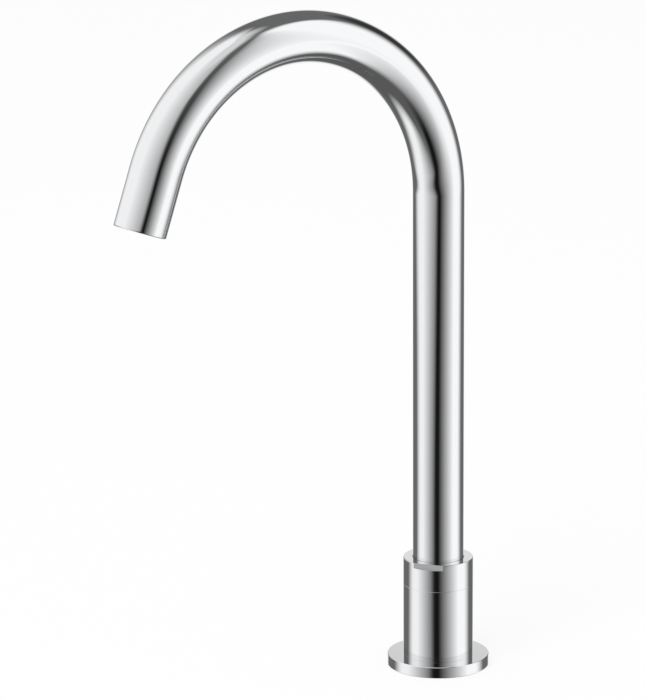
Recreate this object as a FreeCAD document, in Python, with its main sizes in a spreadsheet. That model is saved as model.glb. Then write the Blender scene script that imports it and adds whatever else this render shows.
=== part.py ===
import FreeCAD, Part
import math
import os
import Sketcher

# A deck-mounted sensor tap: a swan-neck spout that swivels in a short body on a round
# flange, a sensor and an aerator in the tip, and a threaded shank with its backnut below.
# Millimetres. +Z is up, z = 0 is the deck that the flange stands on, the origin is the
# centre of the tap hole, and the spout reaches out along -Y, towards the user.

PARTS_FOLDER = "parts"

# Alias, size (mm, degrees or a count), what it is.
SIZES = (
    # swan neck
    ("tube_diameter", 25.0, "outside of the spout tube"),
    ("tube_wall", 1.2, "wall of the spout tube"),
    ("arc_height", 237.5, "deck to the centre of the swan neck's arc"),
    ("arc_radius", 82.5, "centreline radius of the swan neck"),
    ("arc_turn", 160.5, "degrees that the swan neck turns through"),
    ("tip_straight", 28.0, "straight length after the arc"),
    ("tip_rounding", 0.4, "rounded outer edge at the outlet"),
    # body, collar and flange
    ("collar_skirt", 1.75, "wall of the collar nut outside its thread"),
    ("body_top", 41.5, "deck to the seam between body and collar nut"),
    ("neck_wall", 1.6, "wall of the body's neck, with its male thread outside"),
    ("neck_top", 51.9, "deck to the top of the neck"),
    ("ledge_height", 43.0, "deck to the ledge that carries the spout"),
    ("thread_gap", 0.05, "radial gap between two mating threads"),
    ("collar_top", 55.0, "deck to the top of the collar nut"),
    ("collar_web", 3.0, "thickness of the collar nut's top web"),
    ("collar_gap", 0.2, "radial gap between collar web and tube"),
    ("flats_depth", 1.75, "depth of a spanner flat on the collar nut"),
    ("flats_height", 2.6, "height of the spanner flats"),
    ("flats_angle", -55.0, "degrees from +X to the middle of one flat"),
    ("seam_chamfer", 0.2, "bevel on each side of the seam"),
    ("edge_rounding", 0.3, "rounded outer edge of the collar nut's top"),
    ("flange_diameter", 50.0, "outside of the flange"),
    ("flange_thickness", 5.5, "thickness of the flange"),
    ("flange_chamfer", 0.5, "bevel round the flange's top edge"),
    ("flange_foot", 0.2, "bevel round the flange's bottom edge"),
    ("flange_gap", 0.2, "radial gap between flange and shank"),
    ("gasket_rim", 2.0, "flange edge to the deck gasket"),
    ("gasket_width", 4.0, "radial width of the deck gasket"),
    ("gasket_thickness", 1.5, "thickness of the deck gasket"),
    ("seal_width", 1.4, "width of the groove for the body seal"),
    ("seal_depth", 1.0, "depth of the groove for the body seal"),
    ("rubber_gap", 0.05, "gap beside a seal in its groove"),
    # swivel
    ("bearing_gap", 0.05, "radial running gap of the swivel"),
    ("foot_bottom", 20.0, "deck to the lower end of the spout foot"),
    ("foot_clearance", 0.2, "cable to the wall of the foot's bore"),
    ("shoulder_step", 1.25, "tube to the edge of the foot's shoulder"),
    ("shoulder_gap", 0.1, "radial gap between the shoulder and the neck"),
    ("ledge_width", 2.75, "edge of the shoulder to the foot's bearing"),
    ("shoulder_thickness", 4.0, "thickness of the foot's shoulder"),
    ("socket_length", 11.0, "length of the foot inside the tube"),
    ("braze_gap", 0.05, "radial gap of the brazed joint"),
    ("glide_thickness", 1.95, "thickness of the lower glide ring"),
    ("glide_gap", 0.05, "running gap beside a glide ring"),
    ("foot_bevel", 0.5, "bevel on the ends of the spout foot"),
    ("oring_groove", 2.4, "width of a groove in the foot"),
    ("oring_depth", 1.8, "depth of a groove in the foot"),
    ("oring_gap", 0.03, "radial gap between a squeezed ring and the body"),
    ("oring_first", 3.0, "foot's lower end to the first groove"),
    ("oring_pitch", 7.0, "spacing of the two grooves"),
    ("swing_limit", 60.0, "degrees that the spout swivels to each side"),
    ("stop_slack", 0.3, "degrees of play at the stop"),
    ("pin_diameter", 1.8, "stop pin"),
    ("pin_depth", 4.0, "depth of the stop pin in the body"),
    ("slot_height", 2.2, "height of the stop slot in the shoulder"),
    ("pin_play", 0.1, "gap round and above the stop pin"),
    # shank
    ("shank_wall", 3.5, "wall of the threaded shank, M28 x 1.5 outside"),
    ("shank_top", 17.0, "deck to the upper end of the shank"),
    ("shank_bottom", 60.0, "deck down to the lower end of the shank"),
    ("shank_chamfer", 1.0, "bevel on the shank's ends"),
    ("clip_groove", 1.2, "width of the circlip's groove"),
    ("clip_depth", 0.8, "depth of the circlip's groove"),
    ("clip_thickness", 1.0, "thickness of the circlip"),
    ("clip_width", 1.2, "radial width of the circlip"),
    ("clip_edge", 1.8, "shank's lower end to the groove"),
    ("clip_opening", 46.0, "degrees that the circlip leaves open"),
    # clamp below the deck
    ("deck_thickness", 20.0, "deck that the clamp is drawn up against"),
    ("clamp_width", 8.1, "radial width of the clamp's rings"),
    ("clamp_gap", 0.4, "radial gap between the clamp's rings and the shank"),
    ("rubber_thickness", 3.0, "rubber ring"),
    ("washer_thickness", 2.5, "steel ring"),
    ("nut_wall", 4.0, "shank to the middle of a flat of the backnut"),
    ("nut_height", 8.0, "height of the backnut"),
    ("nut_bevel", 1.2, "height of the bevel on the hexagon's corners"),
    # water hose and its ends
    ("hose_diameter", 7.0, "outside of the water hose"),
    ("hose_wall", 1.2, "wall of the water hose"),
    ("barb_gap", 0.05, "gap between a barb and the hose"),
    ("barb_wall", 0.65, "wall of a barb"),
    ("ferrule_wall", 0.85, "wall of a crimped ferrule"),
    ("ferrule_gap", 0.05, "gap between ferrule and hose"),
    ("ferrule_length", 8.0, "length of a ferrule"),
    ("ferrule_start", 0.4, "end of the hose to its ferrule"),
    ("bush_length", 12.0, "length of the inlet bush"),
    ("bush_gap", 0.05, "radial gap between the bush and the shank"),
    ("bush_web", 0.5, "bush wall between the inlet fitting and the plug"),
    ("bush_rim", 0.4, "bush wall outside the plug"),
    ("inlet_wall", 1.4, "wall of the inlet fitting outside its thread"),
    ("inlet_thread", 9.0, "core of the inlet's M10 x 1 thread"),
    ("inlet_depth", 9.0, "depth of the inlet's thread"),
    ("inlet_lip", 0.4, "how far the inlet fitting's collar stands out"),
    ("collar_thickness", 2.0, "thickness of the inlet fitting's collar"),
    ("seat_gap", 0.05, "gap of a part pressed into a bore"),
    # sensor cable
    ("cable_diameter", 2.6, "sensor cable"),
    ("cable_space", 0.3, "ferrule to cable"),
    ("cable_bend", 20.0, "radius of the two bends above the inlet bush"),
    ("plug_diameter", 3.5, "plug on the cable"),
    ("plug_length", 14.0, "length of the plug"),
    ("plug_wall", 0.5, "wall of the plug round its contact well"),
    ("plug_recess", 6.0, "depth of the plug's contact well"),
    # insert in the tip
    ("insert_gap", 0.05, "radial gap between insert and tube"),
    ("insert_recess", 0.6, "outlet to the insert's face"),
    ("insert_length", 20.0, "length of the insert"),
    ("insert_groove", 1.6, "width of the insert's ring groove"),
    ("insert_depth", 0.7, "depth of the insert's ring groove"),
    ("insert_ring", 15.0, "outlet to the insert's ring groove"),
    ("barb_length", 8.5, "length of the barb on the insert"),
    ("outlet_thread", 16.5, "aerator thread in the insert"),
    ("outlet_depth", 9.0, "depth of the aerator thread"),
    ("seat_width", 1.75, "radial width of the washer's seat"),
    ("chamber_height", 1.5, "height of the chamber above the aerator"),
    ("pocket_rim", 1.35, "insert wall outside the sensor pocket"),
    ("pocket_wall", 0.5, "wall between aerator and sensor pocket"),
    ("pocket_width", 10.0, "width of the sensor pocket"),
    ("step_wall", 1.0, "insert wall between the chamber and the wide pocket"),
    ("corner_room", 0.8, "wide pocket's back wall to the inner corners of the pocket below"),
    ("pocket_gap", 0.1, "gap round the lens and the capsule"),
    ("lens_recess", 0.3, "insert's face to the lens"),
    ("lens_thickness", 1.2, "thickness of the lens"),
    ("capsule_drop", 0.4, "top of the insert down to the top of the capsule"),
    ("diode_diameter", 2.4, "emitter and receiver"),
    ("diode_length", 3.6, "length of the emitter and of the receiver"),
    ("dome_rounding", 0.8, "rounded edge of a diode's nose"),
    ("diode_spacing", 5.0, "emitter centre to receiver centre"),
    ("diode_inset", 1.7, "outer arc of the pocket to the diodes' centres"),
    ("board_thickness", 0.8, "circuit board in the capsule"),
    ("board_length", 9.0, "length of the circuit board"),
    ("board_width", 8.0, "width of the circuit board"),
    ("board_inset", 2.0, "outer arc of the pocket to the circuit board"),
    # aerator
    ("aerator_gap", 0.05, "radial gap between aerator and insert"),
    ("aerator_recess", 0.9, "outlet to the aerator's face"),
    ("aerator_wall", 0.9, "wall of the aerator housing"),
    ("aerator_lip", 1.2, "thickness of the housing's lip"),
    ("aerator_ledge", 0.7, "how far the housing's lip reaches under the grid"),
    ("washer_height", 1.0, "thickness of the aerator washer"),
    ("washer_width", 2.6, "radial width of the aerator washer"),
    ("key_width", 1.8, "key notch in the housing"),
    ("key_depth", 0.8, "depth of a key notch"),
    ("core_gap", 0.1, "gap round the aerator's inner parts"),
    ("grid_thickness", 0.9, "thickness of the outlet grid"),
    ("grid_hole", 1.5, "side of a hole in the outlet grid"),
    ("grid_bar", 0.6, "bar between two holes of the outlet grid"),
    ("cartridge_wall", 1.0, "wall of the cartridge"),
    ("cartridge_floor", 1.2, "floor of the cartridge"),
    ("jet_diameter", 1.0, "jet hole in the cartridge's floor"),
    ("jet_circle", 7.0, "diameter of the circle of jets"),
    ("jet_count", 10.0, "number of jets"),
    ("regulator_height", 2.0, "thickness of the flow regulator"),
    ("regulator_port", 4.0, "centre port of the flow regulator"),
)

FULL_TURN = 360.0
HEX_CORNERS = 6
HOSE_SIDES = 12        # the hose and the cable are hidden, so their sections are faceted
CABLE_SIDES = 8


class Size:
    """A number together with the sheet expression that gives it."""

    def __init__(self, value, text):
        self.value = float(value)
        self.text = text

    def __add__(self, other):
        other = as_size(other)
        return Size(self.value + other.value, f"({self.text} + {other.text})")

    def __sub__(self, other):
        other = as_size(other)
        return Size(self.value - other.value, f"({self.text} - {other.text})")

    def __mul__(self, other):
        other = as_size(other)
        return Size(self.value * other.value, f"({self.text} * {other.text})")

    def __truediv__(self, other):
        other = as_size(other)
        return Size(self.value / other.value, f"({self.text} / {other.text})")

    def __radd__(self, other):
        return as_size(other) + self

    def __rsub__(self, other):
        return as_size(other) - self

    def __rmul__(self, other):
        return as_size(other) * self

    def __rtruediv__(self, other):
        return as_size(other) / self

    def __neg__(self):
        return Size(-self.value, f"(-1 * {self.text})")


def as_size(number):
    """Wrap a plain number, and leave a Size as it is."""
    if isinstance(number, Size):
        return number
    return Size(number, f"({float(number)!r})")


def sine(angle):
    angle = as_size(angle)
    return Size(math.sin(math.radians(angle.value)), f"sin({angle.text})")


def cosine(angle):
    angle = as_size(angle)
    return Size(math.cos(math.radians(angle.value)), f"cos({angle.text})")


def arcsine(ratio):
    """Degrees whose sine is the ratio."""
    degrees = math.degrees(math.asin(ratio.value))
    return Size(degrees, f"(asin({ratio.text}) / 1 deg)")


def root(number):
    return Size(math.sqrt(number.value), f"sqrt({number.text})")


class Sheet:
    """The spreadsheet of driving sizes; sheet.alias is a Size."""

    def __init__(self, doc):
        self.cells = doc.addObject("Spreadsheet::Sheet", "Sizes")
        self.known = {}
        for row, (alias, value, note) in enumerate(SIZES, start=1):
            self.cells.set(f"A{row}", alias)
            self.cells.set(f"B{row}", str(value))
            self.cells.set(f"C{row}", note)
            self.cells.setAlias(f"B{row}", alias)
            self.known[alias] = Size(value, f"Sizes.{alias}")
        doc.recompute()

    def __getattr__(self, alias):
        known = self.__dict__["known"]
        if alias not in known:
            raise AttributeError(alias)
        return known[alias]


doc = FreeCAD.newDocument("sensor_tap")
s = Sheet(doc)


# ---------------------------------------------------------------- shared helpers

def bind(item, path, size):
    """Set one property of an object from the sheet."""
    item.setExpression(path, as_size(size).text)


def new_body(label):
    body = doc.addObject("PartDesign::Body", label)
    body.Label = label
    return body


def origin_plane(body, role):
    return next(item for item in body.Origin.OriginFeatures if item.Role == role)


class Drawing:
    """A sketch on one of its body's own planes, with its points bound to the sheet."""

    def __init__(self, body, name, role="XZ_Plane", height=0.0):
        self.sketch = body.newObject("Sketcher::SketchObject", name)
        self.sketch.AttachmentSupport = (origin_plane(body, role), [""])
        self.sketch.MapMode = "FlatFace"
        bind(self.sketch, "AttachmentOffset.Base.z", height)

    def fix(self, kind, geometry, size, point=None):
        """Add one dimension and bind it: a point's X or Y, or a radius."""
        size = as_size(size)
        if kind == "Radius":
            constraint = Sketcher.Constraint(kind, geometry, size.value)
        else:
            constraint = Sketcher.Constraint(kind, -1, 1, geometry, point, size.value)
        index = self.sketch.addConstraint(constraint)
        self.sketch.setExpression(f"Constraints[{index}]", size.text)

    def place(self, geometry, point, x, y):
        self.fix("DistanceX", geometry, x, point)
        self.fix("DistanceY", geometry, y, point)

    def join(self, first, first_point, second, second_point):
        self.sketch.addConstraint(
            Sketcher.Constraint("Coincident", first, first_point, second, second_point))

    def line(self, start, end):
        points = [FreeCAD.Vector(as_size(x).value, as_size(y).value, 0) for x, y in (start, end)]
        return self.sketch.addGeometry(Part.LineSegment(*points), False)

    def polygon(self, points):
        """A closed outline of straight lines through the given points."""
        lines = [self.line(points[i], points[(i + 1) % len(points)]) for i in range(len(points))]
        for i, number in enumerate(lines):
            self.join(number, 2, lines[(i + 1) % len(lines)], 1)
            self.place(number, 1, *points[i])
        return self

    def circle(self, radius, x=0.0, y=0.0):
        centre = FreeCAD.Vector(as_size(x).value, as_size(y).value, 0)
        shape = Part.Circle(centre, FreeCAD.Vector(0, 0, 1), as_size(radius).value)
        number = self.sketch.addGeometry(shape, False)
        self.fix("Radius", number, radius)
        self.place(number, 3, x, y)
        return self

    def free_arc(self, centre, radius, start_angle, end_angle):
        """A counter-clockwise arc with nothing bound yet."""
        middle = FreeCAD.Vector(as_size(centre[0]).value, as_size(centre[1]).value, 0)
        whole = Part.Circle(middle, FreeCAD.Vector(0, 0, 1), as_size(radius).value)
        angles = [math.radians(as_size(angle).value) for angle in (start_angle, end_angle)]
        return self.sketch.addGeometry(Part.ArcOfCircle(whole, *angles), False)

    def arc(self, centre, radius, start_angle, end_angle):
        """A counter-clockwise arc with its centre and radius bound; its ends stay free."""
        number = self.free_arc(centre, radius, start_angle, end_angle)
        self.fix("Radius", number, radius)
        self.place(number, 3, *centre)
        return number


def revolve(body, name, points, kind="Revolution", angle=FULL_TURN, midplane=False):
    """Turn a closed outline of (radius, height) points round the body's Z axis."""
    drawing = Drawing(body, f"{name}_outline").polygon(points)
    feature = body.newObject(f"PartDesign::{kind}", name)
    feature.Profile = drawing.sketch
    feature.ReferenceAxis = (drawing.sketch, ["V_Axis"])
    feature.Midplane = midplane
    bind(feature, "Angle", angle)
    drawing.sketch.Visibility = False
    return feature


def ring(label, inside, outside, bottom, top):
    """A plain ring of rectangular section, as its own sub-part."""
    body = new_body(label)
    revolve(body, f"{label}_ring", [
        (inside, bottom), (outside, bottom), (outside, top), (inside, top)])
    return body


def pad(body, name, drawing, length):
    feature = body.newObject("PartDesign::Pad", name)
    feature.Profile = drawing.sketch
    bind(feature, "Length", length)
    drawing.sketch.Visibility = False
    return feature


def pocket_up(body, name, drawing, length):
    """Cut from the drawing's plane upwards, into the solid above it."""
    feature = body.newObject("PartDesign::Pocket", name)
    feature.Profile = drawing.sketch
    feature.Type = 0
    feature.Reversed = True
    bind(feature, "Length", length)
    drawing.sketch.Visibility = False
    return feature


def polar(body, name, feature, count):
    """Repeat a feature round the body's Z axis, and make the pattern the body's tip."""
    pattern = body.newObject("PartDesign::PolarPattern", name)
    pattern.Originals = [feature]
    pattern.Axis = (feature.Profile[0], ["N_Axis"])
    pattern.Angle = FULL_TURN
    bind(pattern, "Occurrences", count)
    body.Tip = pattern
    return pattern


def round_edges(body, name, base, radius, wanted):
    """Fillet the circular edges of base that wanted(edge) picks."""
    doc.recompute()
    names = [f"Edge{i}" for i, edge in enumerate(base.Shape.Edges, start=1) if wanted(edge)]
    if not names:
        raise RuntimeError(f"{name}: no edge to round")
    feature = body.newObject("PartDesign::Fillet", name)
    feature.Base = (base, names)
    bind(feature, "Radius", radius)
    return feature


def is_rim(edge, radius, height=None):
    """Whether an edge is a circle of this radius (and at this height)."""
    curve = getattr(edge, "Curve", None)
    if not isinstance(curve, Part.Circle) or abs(curve.Radius - radius.value) > 1e-4:
        return False
    return height is None or abs(curve.Center.z - height.value) < 1e-4


# ---------------------------------------------------------------- places worked out from the sheet

tube_radius = s.tube_diameter / 2
tube_inside = tube_radius - s.tube_wall
shoulder_radius = tube_radius + s.shoulder_step
neck_inside = shoulder_radius + s.shoulder_gap
neck_radius = neck_inside + s.neck_wall
body_radius = neck_radius + s.thread_gap + s.collar_skirt
collar_underside = s.collar_top - s.collar_web
shoulder_bottom = s.ledge_height + s.glide_thickness + s.glide_gap
shoulder_top = shoulder_bottom + s.shoulder_thickness
bearing_radius = shoulder_radius - s.ledge_width
bearing_bore = bearing_radius + s.bearing_gap
pin_radius = s.pin_diameter / 2
pin_reach = (bearing_bore + neck_inside) / 2
hose_radius = s.hose_diameter / 2
hose_inside = hose_radius - s.hose_wall
barb_radius = hose_inside - s.barb_gap
barb_bore = barb_radius - s.barb_wall
cable_radius = s.cable_diameter / 2
cable_offset = hose_radius + s.ferrule_gap + s.ferrule_wall + s.cable_space + cable_radius
foot_inside = cable_offset + cable_radius + s.foot_clearance
inlet_radius = s.inlet_thread / 2 + s.inlet_wall
plug_radius = s.plug_diameter / 2
plug_offset = inlet_radius + s.bush_web + plug_radius + s.seat_gap * 2
shank_inside = plug_offset + plug_radius + s.seat_gap + s.bush_rim + s.bush_gap
shank_radius = shank_inside + s.shank_wall
flange_radius = s.flange_diameter / 2
gasket_radius = flange_radius - s.gasket_rim
seal_middle = (shank_radius + s.thread_gap + body_radius) / 2
clamp_inside = shank_radius + s.clamp_gap
clamp_radius = clamp_inside + s.clamp_width
clip_bottom = s.clip_edge - s.shank_bottom
bush_bottom = clip_bottom + s.clip_groove
bush_top = bush_bottom + s.bush_length
hose_bottom = bush_top + s.collar_thickness
insert_top = s.insert_recess + s.insert_length
insert_radius = tube_inside - s.insert_gap
outlet_radius = s.outlet_thread / 2
pocket_back = hose_radius + s.ferrule_gap + s.ferrule_wall
pocket_half = s.pocket_width / 2
pocket_inner = outlet_radius + s.pocket_wall
pocket_corner = root(pocket_inner * pocket_inner - pocket_half * pocket_half)
outlet_offset = pocket_corner - pocket_back - s.corner_room
aerator_radius = outlet_radius - s.aerator_gap
aerator_inside = aerator_radius - s.aerator_wall
aerator_mouth = aerator_inside - s.aerator_ledge
seal_seat = s.insert_recess + s.outlet_depth
housing_top = seal_seat - s.washer_height
core_radius = aerator_inside - s.core_gap
lip_top = s.aerator_recess + s.aerator_lip
grid_pitch = s.grid_hole + s.grid_bar
pocket_radius = insert_radius - s.pocket_rim
pocket_step = seal_seat + s.chamber_height + s.step_wall
capsule_top = insert_top - s.capsule_drop
lens_bottom = s.insert_recess + s.lens_recess
lens_top = lens_bottom + s.lens_thickness


def outlet_place():
    """The outlet's reach in front of the tap hole, and its height above the deck."""
    turn = s.arc_turn
    reach = s.arc_radius * (1 - cosine(turn)) + s.tip_straight * sine(turn)
    height = s.arc_height + s.arc_radius * sine(turn) + s.tip_straight * cosine(turn)
    return reach, height


def put_in_tip(body):
    """Place a sub-part drawn with its Z axis up the tube and the outlet at z = 0."""
    reach, height = outlet_place()
    tilt = s.arc_turn - FULL_TURN / 2
    body.Placement = FreeCAD.Placement(
        FreeCAD.Vector(0, -reach.value, height.value),
        FreeCAD.Rotation(FreeCAD.Vector(1, 0, 0), tilt.value))
    bind(body, "Placement.Base.y", -reach)
    bind(body, "Placement.Base.z", height)
    bind(body, "Placement.Rotation.Angle", tilt)
    return body


# ---------------------------------------------------------------- the base

def base_flange():
    body = new_body("base_flange")
    inside = shank_radius + s.flange_gap
    outside = flange_radius
    revolve(body, "flange_disc", [
        (inside, 0.0),
        (outside - s.flange_foot, 0.0),
        (outside, s.flange_foot),
        (outside, s.flange_thickness - s.flange_chamfer),
        (outside - s.flange_chamfer, s.flange_thickness),
        (inside, s.flange_thickness),
    ])
    revolve(body, "gasket_groove", [
        (gasket_radius - s.gasket_width, 0.0),
        (gasket_radius, 0.0),
        (gasket_radius, s.gasket_thickness),
        (gasket_radius - s.gasket_width, s.gasket_thickness),
    ], kind="Groove")
    return body


def deck_gasket():
    return ring("deck_gasket", gasket_radius - s.gasket_width, gasket_radius, 0.0,
                s.gasket_thickness)


def body_seal():
    half = s.seal_width / 2 - s.rubber_gap
    bottom = s.flange_thickness
    return ring("body_seal", seal_middle - half, seal_middle + half, bottom,
                bottom + s.seal_depth - s.rubber_gap)


def base_body():
    body = new_body("base_body")
    outside = body_radius
    thread = shank_radius + s.thread_gap
    bottom = s.flange_thickness
    revolve(body, "body_turning", [
        (thread, bottom),
        (outside, bottom),
        (outside, s.body_top - s.seam_chamfer),
        (outside - s.seam_chamfer, s.body_top),
        (neck_radius, s.body_top),
        (neck_radius, s.neck_top),
        (neck_inside, s.neck_top),
        (neck_inside, s.ledge_height),
        (bearing_bore, s.ledge_height),
        (bearing_bore, s.shank_top),
        (thread, s.shank_top),
    ])
    half_seal = s.seal_width / 2
    revolve(body, "seal_groove", [
        (seal_middle - half_seal, bottom),
        (seal_middle + half_seal, bottom),
        (seal_middle + half_seal, bottom + s.seal_depth),
        (seal_middle - half_seal, bottom + s.seal_depth),
    ], kind="Groove")
    hole = Drawing(body, "pin_hole_outline", "XY_Plane", s.ledge_height - s.pin_depth)
    hole.circle(pin_radius, 0.0, pin_reach)
    pocket_up(body, "pin_hole", hole, s.pin_depth)
    return body


def stop_pin():
    """A dowel in the ledge, behind the spout, that ends the swivel on both sides."""
    pin = doc.addObject("Part::Cylinder", "stop_pin")
    pin.Label = "stop_pin"
    bind(pin, "Radius", pin_radius)
    bind(pin, "Height", s.pin_depth + s.glide_thickness + s.glide_gap + s.slot_height - s.pin_play)
    bind(pin, "Placement.Base.y", pin_reach)
    bind(pin, "Placement.Base.z", s.ledge_height - s.pin_depth)
    return pin


def threaded_shank():
    body = new_body("threaded_shank")
    outside = shank_radius
    inside = shank_inside
    bevel = s.shank_chamfer
    revolve(body, "shank_turning", [
        (inside, -s.shank_bottom),
        (outside - bevel, -s.shank_bottom),
        (outside, bevel - s.shank_bottom),
        (outside, s.shank_top - bevel),
        (outside - bevel, s.shank_top),
        (inside, s.shank_top),
    ])
    revolve(body, "clip_groove", [
        (inside - s.clip_depth, clip_bottom),
        (inside + s.clip_depth, clip_bottom),
        (inside + s.clip_depth, bush_bottom),
        (inside - s.clip_depth, bush_bottom),
    ], kind="Groove")
    return body


def inlet_circlip():
    """The open spring ring under the inlet bush; the bush turns on it with the spout."""
    body = new_body("inlet_circlip")
    outside = shank_inside + s.clip_depth - s.rubber_gap
    inside = outside - s.clip_width
    bottom = clip_bottom + (s.clip_groove - s.clip_thickness) / 2
    half_open = s.clip_opening / 2
    drawing = Drawing(body, "clip_outline", "XY_Plane", bottom)
    start = half_open - FULL_TURN / 4
    end = FULL_TURN * 3 / 4 - half_open
    outer = drawing.arc((0.0, 0.0), outside, start, end)
    inner = drawing.arc((0.0, 0.0), inside, start, end)
    right = drawing.line((inside * cosine(start), inside * sine(start)),
                         (outside * cosine(start), outside * sine(start)))
    left = drawing.line((inside * cosine(end), inside * sine(end)),
                        (outside * cosine(end), outside * sine(end)))
    drawing.join(right, 1, inner, 1)
    drawing.join(right, 2, outer, 1)
    drawing.join(left, 1, inner, 2)
    drawing.join(left, 2, outer, 2)
    for number, end_radius in ((inner, inside), (outer, outside)):
        drawing.fix("DistanceX", number, end_radius * cosine(start), 1)
        drawing.fix("DistanceX", number, end_radius * cosine(end), 2)
    pad(body, "clip_ring", drawing, s.clip_thickness)
    return body


def collar_nut():
    """The gland nut that holds the spout down, with two spanner flats on its top web."""
    body = new_body("collar_nut")
    outside = body_radius
    thread = neck_radius + s.thread_gap
    web_bore = tube_radius + s.collar_gap
    turning = revolve(body, "collar_turning", [
        (thread, s.body_top),
        (outside - s.seam_chamfer, s.body_top),
        (outside, s.body_top + s.seam_chamfer),
        (outside, s.collar_top),
        (web_bore, s.collar_top),
        (web_bore, collar_underside),
        (thread, collar_underside),
    ])
    round_edges(body, "top_rounding", turning, s.edge_rounding,
                lambda edge: is_rim(edge, outside, s.collar_top))
    half = body_radius - s.flats_depth
    angle = s.flats_angle
    far = body_radius * 2
    ledge = s.collar_top - s.flats_height
    drawing = Drawing(body, "flat_outline", "XY_Plane", ledge)

    def turned(along, across):
        """A point given along and across the flat's direction."""
        return (along * cosine(angle) - across * sine(angle),
                along * sine(angle) + across * cosine(angle))

    drawing.polygon([turned(half, -far), turned(far, -far), turned(far, far), turned(half, far)])
    flat = pocket_up(body, "spanner_flat", drawing, s.flats_height)
    polar(body, "spanner_flats", flat, 2)
    return body


def glide_ring_lower():
    """The plastic ring on the ledge, split round the stop pin."""
    body = new_body("glide_ring_lower")
    outside = neck_inside - s.glide_gap
    inside = bearing_bore + s.glide_gap
    bottom = s.ledge_height
    revolve(body, "lower_ring", [
        (inside, bottom),
        (outside, bottom),
        (outside, bottom + s.glide_thickness),
        (inside, bottom + s.glide_thickness),
    ])
    hole = Drawing(body, "split_outline", "XY_Plane", bottom)
    half = pin_radius + s.pin_play
    reach = neck_radius
    hole.polygon([(-half, 0.0), (half, 0.0), (half, reach), (-half, reach)])
    pocket_up(body, "split", hole, s.glide_thickness)
    return body


def glide_ring_upper():
    """The plastic ring between the spout's shoulder and the collar nut."""
    return ring("glide_ring_upper", tube_radius + s.glide_gap, neck_inside - s.glide_gap,
                shoulder_top + s.glide_gap, collar_underside - s.glide_gap)


# ---------------------------------------------------------------- the clamp below the deck

def clamp_rubber():
    top = -s.deck_thickness
    return ring("clamp_rubber", clamp_inside, clamp_radius, top - s.rubber_thickness, top)


def clamp_washer():
    top = -s.deck_thickness - s.rubber_thickness
    return ring("clamp_washer", clamp_inside, clamp_radius, top - s.washer_thickness, top)


def backnut():
    body = new_body("backnut")
    top = -s.deck_thickness - s.rubber_thickness - s.washer_thickness
    bottom = top - s.nut_height
    flat = shank_radius + s.nut_wall
    far = flat * 2
    corner = flat / cosine(FULL_TURN / 2 / HEX_CORNERS)
    drawing = Drawing(body, "hexagon", "XY_Plane", bottom)
    angles = [k * FULL_TURN / HEX_CORNERS for k in range(HEX_CORNERS)]
    drawing.polygon([(corner * cosine(a), corner * sine(a)) for a in angles])
    drawing.circle(shank_radius + s.thread_gap)
    pad(body, "hexagon_pad", drawing, s.nut_height)
    for name, start, level in (("bevel_below", bottom, 1), ("bevel_above", top, -1)):
        revolve(body, name, [
            (flat, start),
            (far, start),
            (far, start + level * s.nut_bevel * (far - flat) / (corner - flat)),
        ], kind="Groove")
    return body


# ---------------------------------------------------------------- the swan neck

def round_section(radii):
    """Draws one circle for a rod or two for a tube, on the neck's centreline."""
    def draw(drawing, side=1):
        for radius in radii:
            drawing.circle(radius)
        return drawing
    return draw


def faceted_section(corner_radii, sides, offset=0.0):
    """Draws regular polygons this far outside the centreline; side is -1 past the bend."""
    def draw(drawing, side=1):
        angles = [(k + 0.5) * FULL_TURN / sides for k in range(sides)]
        for corner in corner_radii:
            drawing.polygon([(corner * cosine(a), corner * sine(a) + side * offset) for a in angles])
        return drawing
    return draw


def swan_neck(body, name, draw, start, tip_end):
    """A bar or tube along the neck: up the column, round the arc, down to the tip.

    draw puts its section on a drawing; it ends tip_end before the outlet."""
    column = draw(Drawing(body, f"{name}_column_section", "XY_Plane", start))
    pad(body, f"{name}_column", column, s.arc_height - start)
    section = draw(Drawing(body, f"{name}_bend_section", "XY_Plane", s.arc_height))
    axis = section.line((0.0, -s.arc_radius), (s.tube_diameter, -s.arc_radius))
    section.sketch.toggleConstruction(axis)
    section.place(axis, 1, 0.0, -s.arc_radius)
    section.place(axis, 2, s.tube_diameter, -s.arc_radius)
    bend = body.newObject("PartDesign::Revolution", f"{name}_bend")
    bend.Profile = section.sketch
    bend.ReferenceAxis = (section.sketch, ["Axis0"])
    bind(bend, "Angle", s.arc_turn)
    section.sketch.Visibility = False
    tip = draw(Drawing(body, f"{name}_tip_section", "XY_Plane"), side=-1)
    reach, height = outlet_place()
    bind(tip.sketch, "AttachmentOffset.Base.y", sine(s.arc_turn) * tip_end - reach)
    bind(tip.sketch, "AttachmentOffset.Base.z", height - cosine(s.arc_turn) * tip_end)
    tilt = s.arc_turn - FULL_TURN / 2
    tip.sketch.AttachmentOffset = FreeCAD.Placement(
        tip.sketch.AttachmentOffset.Base, FreeCAD.Rotation(FreeCAD.Vector(1, 0, 0), tilt.value))
    bind(tip.sketch, "AttachmentOffset.Rotation.Angle", tilt)
    return pad(body, f"{name}_tip", tip, s.tip_straight - tip_end)


def spout_tube():
    body = new_body("spout_tube")
    tube = swan_neck(body, "tube", round_section((tube_radius, tube_inside)), shoulder_top, 0.0)
    height = outlet_place()[1]
    round_edges(body, "outlet_rounding", tube, s.tip_rounding,
                lambda edge: is_rim(edge, tube_radius, height))
    return body


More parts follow.
